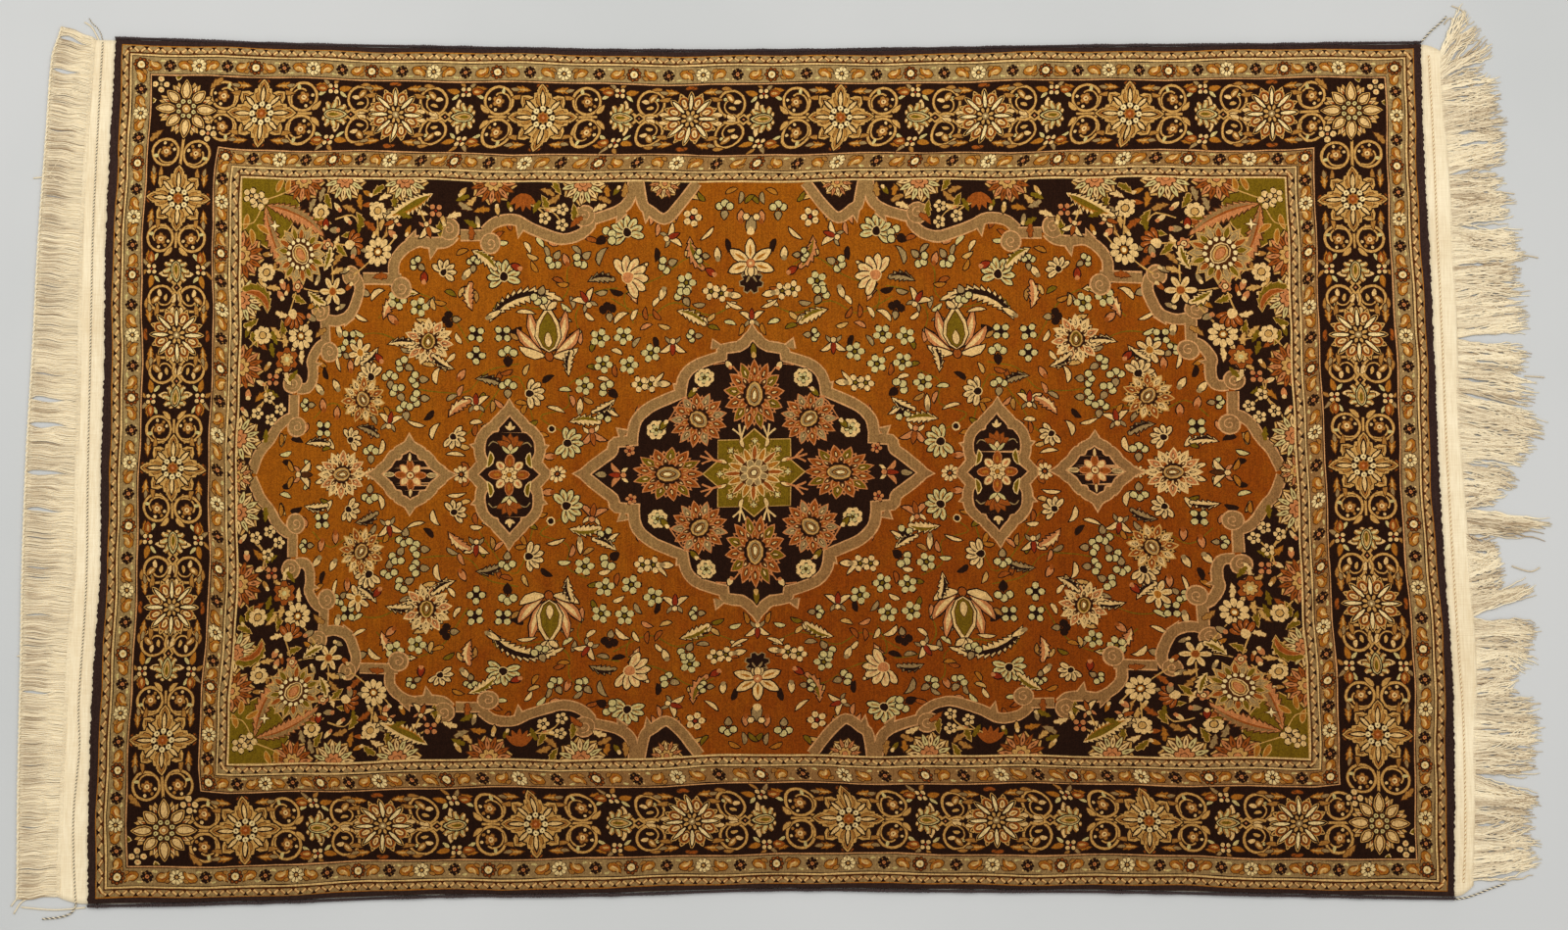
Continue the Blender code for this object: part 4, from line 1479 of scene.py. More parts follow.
def tie(pen, reach, size):
    """What joins a pointed rosette at 0 to a round one at reach, along +x."""
    rings_at, palm_at, cross_at, open_at = (reach * share for share in (0.295, 0.51, 0.655, 0.735))
    ribbon(pen, marks(((34, 0), (rings_at + 14, 0))), 4.0)
    for p in pen.both():
        ribbon(p, smooth(marks(((34, 1), (rings_at - 12, 6), (rings_at - 20, 18))), 4), 4.0)
        closed_scroll(p.at((rings_at, 23)), 20.6 * size)
        p.draw(((rings_at + 13, 6, 24), petal(17, 7, 0.6, 0.8, 40), "gold", "bark", 0.8),
               ((rings_at + 18, 40, 10), saw_leaf(20, 9, 3, -30, 0.4), "ochre", "bark", 0.8),
               ((rings_at + 22, 26, 40), petal(11, 5, 0.6, 0.8, -30), "pale"))
        side_blossom(p.at((palm_at + 2, 36)))
        open_scroll(p.at((open_at, 22)), 19.0 * size)
        ribbon(p, smooth(marks(((cross_at - 17, 11), (cross_at - 8, 6), (cross_at, 0),
                                (open_at - 2, -6), (open_at + 10, -4))), 4), 4.4)
        p.draw(((cross_at - 17, 11, 120), petal(15, 8, 0.6, 0.8, -40), "cream", "bark", 0.8),
               ((open_at + 12, 6, 6), petal(17, 7, 0.6, 0.7, -30), "cream", "bark", 0.8),
               ((open_at + 14, 43, 170), petal(15, 5, bend=25), "tan", "bark", 0.8))
    pen.draw((cross_at, ([-10 + 0j, -8j, 10 + 0j, 8j], "gold"), ([-6.5 + 0j, -5j, 6.5 + 0j, 5j], "ink"),
              (ring(4, 1.8), "rose")))
    border_palmette(pen.at(palm_at, 0, size))


# %% Laying the main border
LONG_SPOTS = (-727, -537, -328, -117, 100, 305, 514, 722)
SHORT_SPOTS = (-387, -204, -8, 182, 379)
BORDER_MIDDLE = 104.5

chart.region("pile_main_border")
stripe(56, 156.6, "ink")
for pen, half, kind in side_pens(BORDER_MIDDLE):
    long = kind == "long"
    forward = (pen.aim.real if long else pen.aim.imag) > 0
    rosettes = sorted(x if forward else -x for x in (LONG_SPOTS if long else SHORT_SPOTS))
    pointed = [(forward or not long) == (n % 2 == 0) for n in range(len(rosettes))]
    # from each corner to the rosette next to it
    for end, turn in ((rosettes[0], 180), (rosettes[-1], 0)):
        gap = half - abs(end)
        corner = pen.at(end, turn)
        for p in corner.both():
            closed_scroll(p.at((gap * 0.5, 23)), 20.0)
        ribbon(corner, marks(((34, 0), (gap * 0.78, 0))), 4.4)
    for start, end, from_start in zip(rosettes, rosettes[1:], pointed):
        tie(pen.at(start) if from_start else pen.at(end, 180), end - start, 1.0 if long else 0.95)
    for spot, is_pointed in zip(rosettes, pointed):
        edge_leaves(pen.at(spot))
        (pointed_rosette if is_pointed else round_rosette)(pen.at(spot, 0, 1.06))
for n, (x, y) in enumerate(((1, 1), (-1, 1), (-1, -1), (1, -1))):
    corner = page.at((x * (LENGTH_HALF - BORDER_MIDDLE), y * (WIDTH_HALF - BORDER_MIDDLE)), 45 + 90 * n)
    corner_rosette(corner.at(0, 45, 1.1))
    blossom(corner.at(51), 13, 4, "cream", "grey", "rose")
    blossom(corner.at(-48), 13, 4, "cream", "rose", "gold")
    corner.draw(("both", ((40, 22, 60), petal(24, 8, bend=30), "olive", "cream", 0.9),
                 ((-2, 46, 80), saw_leaf(22, 10, 3, 20, 0.4), "tan", "bark", 0.9)))
print("with the main border:", len(chart.outlines))

# %% [markdown]
# ## Outer stripes and the dark edge
#
# Outside the main border come a small flower border, the outer guard and a plain dark
# band, which meets the overcast sides.

# %% Outer stripes
chart.region("pile_outer_border")
stripe(55.4, 56.8, "ink")
stripe(53.4, 55.2, "blush")
stripe(52.2, 53.4, "ink")
stripe(28.4, 52.2, "grey")
minor_border(28.6, 52.2, {"long": 40, "short": 28}, 0.038)
stripe(27.2, 28.6, "ink")
stripe(12, 27.2, "grey")
stripe(24.8, 27.2, "cream")
stripe(24.0, 24.8, "bark")
guard(13.6, 24.0)
stripe(12.2, 13.4, "ochre")
# the overcast sides take the outermost 5.8 mm, and the knots at the ends stand out unevenly
stripe(0, 12.2, "soot", SELVEDGE + GAP)
print("whole chart:", len(chart.outlines), "outlines and", len(chart.points), "points")

# %% [markdown]
# ## From the chart to the rug as it lies
#
# The finished rug is drawn in at the sides and its rows have slipped, so the pattern
# sits a little off the true grid. One function moves every chart point to its real
# place: it follows the edge tables, shifts the field as the photograph shows it, and
# adds the small wander of hand-tied rows.


# %% Placing points on the cloth
def eases(low, high, values):
    share = np.clip((values - low) / (high - low), 0, 1)
    return share * share * (3 - 2 * share)


STATIONS = np.linspace(-1.03, 1.03, 413)
EDGES = {
    name: np.array([read(table, name, share) for share in STATIONS])
    for table, names in ((SIDES, ("far", "near")), (ENDS, ("left", "right")))
    for name in names
}


def placed(z):
    """Chart points, as complex numbers in mm, to their real places."""
    x, y = z.real, z.imag
    wide, high = np.abs(x), np.abs(y)
    middle = eases(480, 742, wide)
    shift_x = (middle * 22 - 29) * (1 - eases(742, 930, wide)) * (1 - eases(417, 500, high))
    upper = eases(200, 417, high)
    shift_y = (upper * 12.5 - 17.5) * (1 - eases(417, 600, high)) * (1 - eases(742, 800, wide))
    along, across = x / LENGTH_HALF, y / WIDTH_HALF
    edge = {name: np.interp(along if name in ("far", "near") else across, STATIONS, column)
            for name, column in EDGES.items()}
    left, right = edge["left"] - LENGTH_HALF, edge["right"] + LENGTH_HALF
    low, top = edge["near"] - WIDTH_HALF, WIDTH_HALF - edge["far"]
    calm = (1 - eases(925, 940, wide)) * (1 - eases(600, 615, high))
    wander_x = 1.3 * np.sin(y / 61 + 2 * np.sin(x / 93)) + 0.7 * np.sin(y / 19 + x / 47)
    wander_y = 1.1 * np.sin(x / 57 + 2 * np.sin(y / 83)) + 0.7 * np.sin(x / 23 - y / 41)
    real_x = mix(left, right, (along + 1) / 2) + shift_x + calm * wander_x
    real_y = mix(low, top, (across + 1) / 2) + shift_y + calm * wander_y
    ragged = np.sin(real_x * 12.9898 + real_y * 78.233) * 43758.5453
    turn = (ragged - np.floor(ragged)) * math.tau
    return real_x + 1j * real_y + 0.28 * calm * np.exp(1j * turn)


print("the middle of the chart lies at", np.round(placed(np.array([0j])), 1))

# %% [markdown]
# ## Cutting the chart into one surface
#
# The triangulation wants each outline anticlockwise and never crossing itself, so the
# mirrored ones are turned round first, and a crossed one is cut into triangles. A loose
# grid of extra points lets the pile's gentle unevenness show. Each triangle remembers
# the outlines it lies in; the last of them gives its dye and its stripe.


# %% Triangulating the pile
HAIR = 0.06                  # in mm


def pinched(points):
    """Whether a closed outline crosses itself or comes within a hair of it."""
    start, end = points[:, None], np.roll(points, -1)[:, None]
    along = end - start
    share = ((points - start) * along.conjugate()).real / np.maximum(np.abs(along) ** 2, 1e-9)
    away = np.abs(points - (start + np.clip(share, 0, 1) * along))
    side_start = ((points - start) * along.conjugate()).imag
    split = side_start * np.roll(side_start, -1, axis=1) < 0
    both = split & split.T
    count = np.arange(len(points))
    for step in (0, 1):
        away[count, (count + step) % len(points)] = 1.0
        both[count, (count + step) % len(points)] = False
        both[(count + step) % len(points), count] = False
    return both.any() or away.min() < HAIR


def thickness_of(points):
    """Twice a triangle's area over its longest side."""
    return 2 * abs(area_of(points)) / np.abs(points - np.roll(points, -1)).max()


def area_of(points):
    return (points.conjugate() * np.roll(points, -1)).imag.sum() / 2


# %% The first cut
FINEST = 0.25                # outlines are rounded to this, in mm
real = np.round(placed(np.array(chart.points)) / FINEST) * FINEST
corners, faces, face_ids = [], [], []
for number, (first, count) in enumerate(chart.outlines):
    points = real[first:first + count]
    points = points[np.abs(points - np.roll(points, 1)) > 0.01]
    if len(points) < 3 or abs(area_of(points)) < 0.2:
        continue
    if area_of(points) < 0:
        points = points[::-1]
    parts = [points]
    if pinched(points):
        flat = [Vector((z.real, z.imag, 0)) for z in points]
        parts = [points[list(part)] for part in tessellate_polygon([flat])]
        parts = [part if area_of(part) > 0 else part[::-1] for part in parts if thickness_of(part) > HAIR]
    for part in parts:
        faces.append(list(range(len(corners), len(corners) + len(part))))
        corners.extend(part)
        face_ids.append(number)
GRID = 23.0                  # between the extra points, in mm
loose = placed(np.array([complex(x, y) for x in np.arange(-920, 921, GRID)
                         for y in np.arange(-598, 599, GRID)]))
corners.extend(loose)
cut = delaunay_2d_cdt([Vector((z.real, z.imag)) for z in corners], [], faces, 1, 0.002, True)
pile_spots = np.array([tuple(spot) for spot in cut[0]])
pile_faces = np.array(cut[2])
print("cut into", len(pile_faces), "triangles")

# %% Leaving out the outlines that spill
# an outline that still covers more than its own area is dropped
owners = np.concatenate([np.array(group) for group in cut[5]])
owner_counts = np.array([len(group) for group in cut[5]])
flat = pile_spots[:, 0] + 1j * pile_spots[:, 1]
first, second, third = (flat[pile_faces[:, n]] for n in range(3))
sizes = np.abs(((second - first).conjugate() * (third - first)).imag) / 2
covered = np.bincount(owners, np.repeat(sizes, owner_counts), len(faces))
wanted = np.array([area_of(np.array([corners[n] for n in face])) for face in faces])
spilt = covered > wanted * 1.2 + 4.0
ends = np.cumsum(owner_counts)
top_face = np.maximum.reduceat(np.where(spilt[owners], 0, owners), ends - owner_counts)
top_outline = np.array(face_ids)[top_face]
inside = np.logical_or.reduceat(~spilt[owners], ends - owner_counts)
pile_faces, top_outline = pile_faces[inside], top_outline[inside]
print("left out:", int(spilt.sum()), "outlines")
print("first cut:", len(pile_spots), "points and", len(pile_faces), "triangles")

# %% [markdown]
# ## Keeping only the lines that show
#
# Most of those lines run under a later outline, or between two outlines of one dye, and
# only add weight. So the lines between two dyes are picked out, followed from fork to
# fork and thinned where they are straight, and the surface is cut a second time along
# them alone. A ray through each new triangle finds its dye in the first cut.


# %% The second, lighter cut
SLACK = 0.22                 # in mm


def thinned(line):
    """Leaves out the points that stand less than SLACK from the line through the others."""
    kept, skipped = [line[0]], []
    for n in range(1, len(line) - 1):
        skipped.append(line[n])
        run = flat[line[n + 1]] - flat[kept[-1]]
        away = [abs(((flat[spot] - flat[kept[-1]]) * run.conjugate()).imag) for spot in skipped]
        if max(away) > SLACK * abs(run):
            kept.append(line[n])
            skipped = []
    return kept + [line[-1]]


piece_names = list(dict.fromkeys(name for _, name in chart.regions))
region_starts = [first for first, _ in chart.regions]
region_pieces = np.array([piece_names.index(name) for _, name in chart.regions])
dye_names = list(DYES)
outline_tags = (region_pieces[np.searchsorted(region_starts, np.arange(len(chart.dyes)), "right") - 1] * 100
                + np.array([dye_names.index(dye) for dye in chart.dyes]))
old_tags = outline_tags[top_outline]
sides = np.sort(np.concatenate([pile_faces[:, pair] for pair in ([0, 1], [1, 2], [2, 0])]), axis=1)
order = np.lexsort((sides[:, 1], sides[:, 0]))
sides, side_tags = sides[order], np.tile(old_tags, 3)[order]
same = (sides[1:] == sides[:-1]).all(axis=1)
differ = side_tags[1:] != side_tags[:-1]
lone = ~(np.append(same, False) | np.insert(same, 0, False))
shown = sides[np.append(same & differ, False) | lone].tolist()

flat = flat.tolist()
ways = {}
for start, end in shown:
    ways.setdefault(start, []).append(end)
    ways.setdefault(end, []).append(start)
forks = {spot for spot, ends in ways.items() if len(ends) != 2}
lines = []
for start in [*sorted(forks), *ways]:
    while ways[start]:
        line = [start, ways[start].pop()]
        ways[line[1]].remove(start)
        while len(ways[line[-1]]) == 1 and line[-1] not in forks:
            line.append(ways[line[-1]].pop())
            ways[line[-1]].remove(line[-2])
        lines.append(thinned(line))

used = sorted({spot for line in lines for spot in line})
number = {spot: n for n, spot in enumerate(used)}
edges = [(number[a], number[b]) for line in lines for a, b in zip(line, line[1:])]
corners = [Vector((flat[spot].real, flat[spot].imag)) for spot in used]
corners += [Vector((z.real, z.imag)) for z in loose]
print("lines:", len(lines), "with", len(used), "points, out of", len(shown), "sides")
cut = delaunay_2d_cdt(corners, edges, [], 0, 0.002, True)
first_spots = np.insert(pile_spots, 2, 0.0, axis=1).tolist()
tree = BVHTree.FromPolygons(first_spots, pile_faces.tolist(), all_triangles=True)
pile_spots = np.array([tuple(spot) for spot in cut[0]])
pile_faces = np.array(cut[2])
middles = pile_spots[pile_faces].mean(axis=1)
found = [tree.ray_cast(Vector((x, y, 1.0)), Vector((0, 0, -1)))[2] for x, y in middles.tolist()]
inside = np.array([hit is not None for hit in found])
pile_faces, middles = pile_faces[inside], middles[inside]
tags = old_tags[[hit for hit in found if hit is not None]]
print("pile:", len(pile_spots), "points and", len(pile_faces), "triangles")

# %% [markdown]
# ## The finish of the wool
#
# Knotted wool is matt, with a faint sheen along the nap. Each knot takes the dye a
# little differently and rows show as fine streaks across the rug; this tone is partly
# painted shade between the tufts and rows. The ground of the field drifts between dye
# lots, which the trade calls abrash, and painted light and shade make the near side of
# the rug darker and its right end lighter. The dye is stored per face corner, and its
# fourth value says how much abrash that dye shows.

# %% Wool
ABRASH = {"field": 1.0, "taupe": 0.45, "grey": 0.3, "tan": 0.25, "olive": 0.3, "ochre": 0.3}
OTHER_ABRASH = 0.15

wool = Finish("knotted_wool", Roughness=0.92, Specular_IOR_Level=0.06,
              Sheen_Weight=0.015, Sheen_Roughness=0.5)
dye = wool.node("ShaderNodeAttribute", {"attribute_name": "dye"}, output="Color")
lot = wool.node("ShaderNodeAttribute", {"attribute_name": "dye"}, output="Alpha")
# one value for each knot, 1.5 mm wide
cell = wool.node("ShaderNodeTexVoronoi", {"voronoi_dimensions": "2D"},
                 {"Vector": wool.place(), "Scale": 640.0, "Randomness": 0.55}, output="Color")
knot = wool.node("ShaderNodeSeparateColor", {}, {"Color": cell})
rows = wool.noise(60.0, (7.0, 0.35, 1.0), 4.0, 0.65)
fine_rows = wool.noise(60.0, (26.0, 0.8, 1.0), 3.0, 0.6)
bands = wool.noise(2.6, (3.0, 0.5, 1.0), 3.0, 0.6)
patch = wool.noise(3.2, (1, 1, 1), 3.0, 0.55)
mottle = wool.noise(46.0, (1.0, 0.7, 1.0), 3.0, 0.6)
# knot and row tone: partly the knots' uneven dye, partly painted shade between the tufts and rows of the pile
tone = wool.ramp(knot * 0.36 + rows * 0.55 + fine_rows * 0.5, 0.30, 1.10)
shaded = wool.blend(1.0, dye, wool.blend(tone, (0.60, 0.55, 0.50), (1.36, 1.32, 1.26)), "MULTIPLY")
# dye lots: golden brown towards the ends, redder in the middle and on the near side
along = wool.node("ShaderNodeSeparateXYZ", {}, {"Vector": wool.place()}, output=0)
depth = wool.node("ShaderNodeSeparateXYZ", {}, {"Vector": wool.place()}, output=1)
redder = wool.ramp(along * 0.45 - depth * 0.8 + bands * 1.2 + patch * 0.4 + mottle * 1.0, 0.80, 1.80)
tinted = wool.blend(1.0, shaded, wool.blend(redder, (1.06, 1.10, 1.0), (0.80, 0.58, 0.50)), "MULTIPLY")
# painted light and shade: the near side of the rug darker and the right end a little lighter, as light falls
# on the leaning pile
painted_shade_slope = depth + wool.ramp(along, 0.3, 1.1) * 0.25
# lean is the painted light and shade that every dye is multiplied by
lean = wool.blend(wool.ramp(painted_shade_slope, -0.75, 0.62), (0.68, 0.66, 0.60), (0.98, 0.98, 0.96))
wool.colour(wool.blend(1.0, wool.blend(lot, shaded, tinted), lean, "MULTIPLY"))
fuzz = wool.noise(1300.0, (1, 1, 1), 2.0, 0.6)
wool.bump(knot * 0.5 + fuzz * 0.7 + rows * 0.8, 0.0011, 0.55)
print("nodes in the wool:", len(wool.tree.nodes))

# %% [markdown]
# ## The pile in pieces
#
# The pile is one surface, kept in eight pieces so that none is too heavy: medallion,
# spandrels, inner and outer border, and two halves each of the field and the main
# border. Each is extruded down to the ground weave and closed underneath. Its top
# undulates by about half a millimetre, as a rug on a floor does.


# %% Pile pieces
def swell(x, y):
    """The gentle unevenness of the pile's top, in mm."""
    return (0.35 * np.sin(x / 83 + 1.3 * np.sin(y / 120)) + 0.25 * np.sin(y / 61 + x / 210)
            + 0.12 * np.sin(x / 17 + y / 140))


edge_near = np.minimum(eases(0, 14, WIDTH_HALF - np.abs(pile_spots[:, 1])),
                       eases(0, 14, LENGTH_HALF - np.abs(pile_spots[:, 0])))
dye_values = np.array([(*[v / 255 for v in DYES[dye]], ABRASH.get(dye, OTHER_ABRASH)) for dye in dye_names])
HALVED = ("pile_field", "pile_main_border")
parts = [(name, number, 0) for number, name in enumerate(piece_names) if name not in HALVED]
parts += [(name + word, piece_names.index(name), way) for name in HALVED
          for word, way in (("_left", -1), ("_right", 1))]
for name, number, way in parts:
    chosen = (tags // 100 == number) & (middles[:, 0] * way >= 0)
    triangles = pile_faces[chosen]
    used, renumbered = np.unique(triangles, return_inverse=True)
    spots = pile_spots[used]
    heights = PILE_TOP - 0.45 + swell(spots[:, 0], spots[:, 1]) * edge_near[used]
    mesh = bpy.data.meshes.new(name)
    mesh.from_pydata(
        np.column_stack([spots[:, 0] * MM + MIDDLE_X, spots[:, 1] * MM + MIDDLE_Y, heights * MM]).tolist(),
        [], renumbered.reshape(-1, 3).tolist())
    dyes = mesh.attributes.new("dye", "BYTE_COLOR", "CORNER")
    dyes.data.foreach_set("color_srgb", np.repeat(dye_values[tags[chosen] % 100], 3, axis=0).ravel())
    for polygon in mesh.polygons:
        polygon.use_smooth = True
    bm = bmesh.new()
    bm.from_mesh(mesh)
    rim = [edge for edge in bm.edges if edge.is_boundary]
    for edge in rim:
        edge.smooth = False
    walls = bmesh.ops.extrude_edge_only(bm, edges=rim)["geom"]
    for corner in walls:
        if isinstance(corner, bmesh.types.BMVert):
            corner.co.z = (BACK - 0.1) * MM
    low_rim = [edge for edge in walls if isinstance(edge, bmesh.types.BMEdge) and edge.is_boundary]
    bmesh.ops.triangle_fill(bm, edges=low_rim, normal=(0, 0, -1))
    bmesh.ops.recalc_face_normals(bm, faces=bm.faces)
    bm.to_mesh(mesh)
    bm.free()
    add_piece(name, mesh, wool, "pile")
    print(name, len(mesh.polygons), "faces")

# %% [markdown]
# ## The ground weave
#
# Under the knots, and out past them at both ends as a narrow flat-woven strip, is the
# cotton ground weave. It is one sheet, a grid drawn to the same edge tables and
# thickened downwards to the floor.

# %% Ground weave
TUCKS = {("left", "far"): -1.0, ("left", "near"): 11.0, ("right", "far"): 11.0, ("right", "near"): 15.0}


def weave_point(end, depth, across):
    """A point of a flat-woven end; depth runs from 0 at the pile to 1 at the fringe."""
    side = -1 if end == "left" else 1
    x, y = pile_point(side, across)
    tuck = TUCKS[end, "near"] * ((1 - across) / 2) ** 12 - TUCKS[end, "far"] * ((1 + across) / 2) ** 12
    return complex(x + side * depth * read(ENDS, end + "_weave", across), y + tuck * depth ** 2)


cotton = Finish("cotton_weave", Roughness=0.9, Specular_IOR_Level=0.2)
weft = cotton.noise(60.0, (9.0, 0.5, 1.0), 3.0, 0.6)
warp = cotton.noise(60.0, (0.6, 12.0, 1.0), 3.0, 0.6)
cotton_tone = cotton.ramp(weft * 0.6 + warp * 0.4 + cotton.noise(9.0, detail=3.0) * 0.5, 0.45, 1.05)
cotton.colour(cotton.blend(cotton_tone, linear((222, 198, 156)), linear((250, 234, 198))))
cotton.bump(weft * 0.7 + warp * 0.5, 0.0006, 0.5)

bm = bmesh.new()
COLUMNS, ROWS, END_COLUMNS = 60, 150, 9
bmesh.ops.create_grid(bm, x_segments=COLUMNS + 2 * END_COLUMNS, y_segments=ROWS, size=1.0)
for corner in bm.verts:
    column = round((corner.co.x + 1) / 2 * (COLUMNS + 2 * END_COLUMNS))
    across = corner.co.y
    if column < END_COLUMNS:
        depth = 1 - column / END_COLUMNS
        spot = weave_point("left", depth, across)
    elif column > COLUMNS + END_COLUMNS:
        depth = (column - COLUMNS - END_COLUMNS) / END_COLUMNS
        spot = weave_point("right", depth, across)
    else:
        depth = 0.0
        spot = complex(*pile_point(2 * (column - END_COLUMNS) / COLUMNS - 1, across))
    corner.co = to_frame(spot, BACK + 0.35 * math.sin(spot.imag / 37 + 3 * depth) * depth)
sheet_top = list(bm.faces)
for face in sheet_top:
    face.smooth = True
under = bmesh.ops.extrude_face_region(bm, geom=sheet_top)["geom"]
for corner in under:
    if isinstance(corner, bmesh.types.BMVert):
        corner.co.z = 0.0
bmesh.ops.recalc_face_normals(bm, faces=bm.faces)
ground = add_piece("ground_weave", bm, cotton, "cotton", "rug")
print("ground weave:", [round(side, 3) for side in ground.dimensions])

# %% [markdown]
# ## Overcast sides
#
# Along each long side a dark yarn is wrapped round and round the outermost warps to
# save them from wear. It is modelled as it is made: a core, and one yarn that winds
# round it some seven hundred and fifty times, a little unevenly.

# %% Overcast sides
random.seed(11)
dark_wool = yarn_finish("yarn_dark_wool", (86, 68, 64), (30, 20, 20), 0.5)
WRAP_PITCH = 2.5
WRAP_STEPS = 5
for name, side in (("selvedge_far", 1), ("selvedge_near", -1)):
    line = [complex(*pile_point(n / 150 - 1, side)) + side * (SELVEDGE / 2 + GAP) * 1j for n in range(301)]
    core = [to_frame(spot, 2.9) for spot in evenly(line, 12.0)]
    wrap, radii = [], []
    for n, spot in enumerate(evenly(line, WRAP_PITCH / WRAP_STEPS)):
        if n % WRAP_STEPS == 0:
            thick = random.uniform(0.95, 1.3)
            slip = random.uniform(-0.5, 0.5)
            out = 1.6 + 0.45 * math.sin(n / 31 + 2 * math.sin(n / 77)) + random.uniform(-0.3, 0.3)
        angle = math.tau * n / WRAP_STEPS
        wrap.append(to_frame(spot + slip + 1j * out * math.cos(angle), 2.95 + out * math.sin(angle)))
        radii.append(thick)
    strands = [(core, 1.7, 0.2), (wrap, radii, 0.45)]
    yarns(name + "_overcast", strands, dark_wool, "selvedge", name, sides=4)

# %% [markdown]
# ## Left fringe
#
# At the left end the warps were never cut. They run out as fine parallel yarns to a
# chained cord that closes their loops. Here and there they part and show the floor.

# %% Left fringe
LEFT_FRINGE = {
    "columns": ("share", "reach", "rise"),
    "rows": (
        (-1.00, 52.0, -4.0), (-0.75, 57.0, 0.0), (-0.50, 61.0, 3.0), (-0.25, 68.0, 5.0),
        (0.00, 67.0, 6.0), (0.25, 62.0, 7.0), (0.50, 57.0, 8.0), (0.75, 54.0, 10.0),
        (0.94, 54.0, 12.0), (1.00, 43.0, 19.0),
    ),
}
PARTINGS = (
    # how far along the edge, and how far the yarns stand apart there, in mm
    (598, 4.6), (556, 4.8), (511, 1.8), (470, 1.6), (374, 2.4), (300, 1.4), (236, 1.2), (120, 1.6),
    (84, 5.0), (49, 5.4), (-19, 5.0), (-72, 5.0), (-110, 1.2), (-152, 2.0), (-218, 2.4), (-259, 1.6),
    (-322, 2.4), (-380, 1.2), (-420, 1.6), (-503, 2.2), (-560, 1.2),
)
LEFT_STRAYS = (
    ((-989, 450), (-1005, 446), (-1018, 428), (-1030, 411), (-1050, 407)),
    ((-1029, 411), (-1015, 403), (-1000, 391)), ((-986, 535), (-1006, 533), (-1026, 529)),
    ((-989, 498), (-997, 502), (-1006, 505)), ((-962, 606), (-974, 628), (-985, 636)),
    ((-943, -614), (-985, -617), (-1030, -613)), ((-1018, -272), (-1034, -269), (-1048, -271)),
    ((-1016, -600), (-1030, -606), (-1040, -622)), ((-1016, -596), (-1034, -600), (-1044, -612)),
)
fringe_cotton = yarn_finish("yarn_fringe", (251, 235, 199), (146, 114, 76))


def parted(y):
    """How far a yarn at y is pushed aside where the fringe parts."""
    shift = 0.7 * math.sin(y / 5.1 + 2.0 * math.sin(y / 17.0))
    for place, width in PARTINGS:
        away = y - place
        if abs(away) < 4 * width:
            shift += math.copysign(width, away) * math.exp(-abs(away) / width / 1.3) * 0.9
    return shift


def strays(routes, height, radius, tone):
    """Single yarns that lie apart from the others."""
    lines = [evenly(smooth(marks(route), 5), 5.0) for route in routes]
    return [([to_frame(spot, height) for spot in line], radius, tone) for line in lines]


strands, tips = [], []
root_near, root_far = weave_point("left", 1, -1).imag, weave_point("left", 1, 1).imag
for pitch, low, spread, thick in ((1.7, 0.9, 0.35, 0.95), (2.0, 1.9, 0.9, 0.80)):
    count = round((root_far - root_near) / pitch)
    for n in range(count + 1):
        share = 2 * n / count - 1
        root = complex(weave_point("left", 1, share).real, mix(root_near, root_far, n / count))
        reach, rise = read(LEFT_FRINGE, "reach", share), read(LEFT_FRINGE, "rise", share)
        side = parted(root.imag) + random.gauss(0, spread)
        sag = random.gauss(0, spread)
        # painted shade: each yarn is darker along part of its outer half, for the shade between the looped
        # ends; the lower layer, lying under the upper one, always takes it
        shaded = random.choice((0.0, 0.1, 0.2, 0.3, 0.45)) if low > 1 else 0.25
        tone = random.uniform(0.74, 1.0)
        starts, wave = random.uniform(0.25, 0.7), root.imag / 19 + 1.7 * math.sin(root.imag / 41)
        path, tones = [], []
        for step in range(9):
            t = step / 8
            spot = root + complex(6 - (reach + 6) * t, rise * t ** 0.8)
            spot += 1j * (side * math.sin(math.pi * t ** 2.4) + sag * math.sin(7 * t) * (1 - t))
            spot += 1.5j * math.sin(wave + 8.5 * t) * math.sin(math.pi * t)
            path.append(to_frame(spot, low + random.uniform(-0.1, 0.3)))
            tones.append(tone - shaded * ease(starts - 0.1, starts + 0.15, t) * (1 - ease(0.88, 0.96, t)))
        if low < 1:
            tips.append(spot)
        strands.append((path, [thick * 0.7] + [thick] * 8, tones))
edge_line = [tips[0]] + [sum(tips[n - 2:n + 3]) / 5 for n in range(4, len(tips) - 4, 4)] + [tips[-1]]
strands += twined(edge_line, 3.8, 12.0, (1.0, 0.75), 0.2)
strands += strays(LEFT_STRAYS, 1.2, 1.0, 0.8)
left_fringe = yarns("fringe_left_yarns", strands, fringe_cotton, "cotton", "fringe_left", sides=4)

# %% [markdown]
# ## Right fringe
#
# At the right end the warps were cut and have untwisted into thick, tousled locks. The
# table follows the CAD comb: where each lock grows from and where its tips fall. The
# yarns in a lock share its curve, and each one wanders a little from it.

# %% Right fringe
RIGHT_LOCKS = (
    # root_first, root_last, first_x, first_y, last_x, last_y, bow
    (597, 545, 1003, 668, 1043, 578, 14), (545, 414, 1055, 551, 1063, 433, 4),
    (414, 342, 1057, 411, 1070, 358, 0), (342, 241, 1076, 331, 1083, 262, 4),
    (241, 177, 1070, 243, 1084, 190, 4), (177, 99, 1079, 160, 1088, 85, 6),
    (99, 0, 1099, 60, 1080, 8, 4), (0, -70, 1067, -18, 1022, -58, 0),
    (-70, -104, 1100, -82, 1080, -104, 2), (-104, -195, 1020, -120, 1038, -174, 0),
    (-195, -222, 1077, -170, 1077, -178, 0), (-222, -291, 1084, -241, 1065, -284, 4),
    (-291, -339, 1046, -297, 1044, -324, 0), (-339, -441, 1073, -343, 1073, -430, 3),
    (-441, -522, 1069, -474, 1060, -502, 0), (-522, -588, 1062, -524, 1064, -577, 0),
)
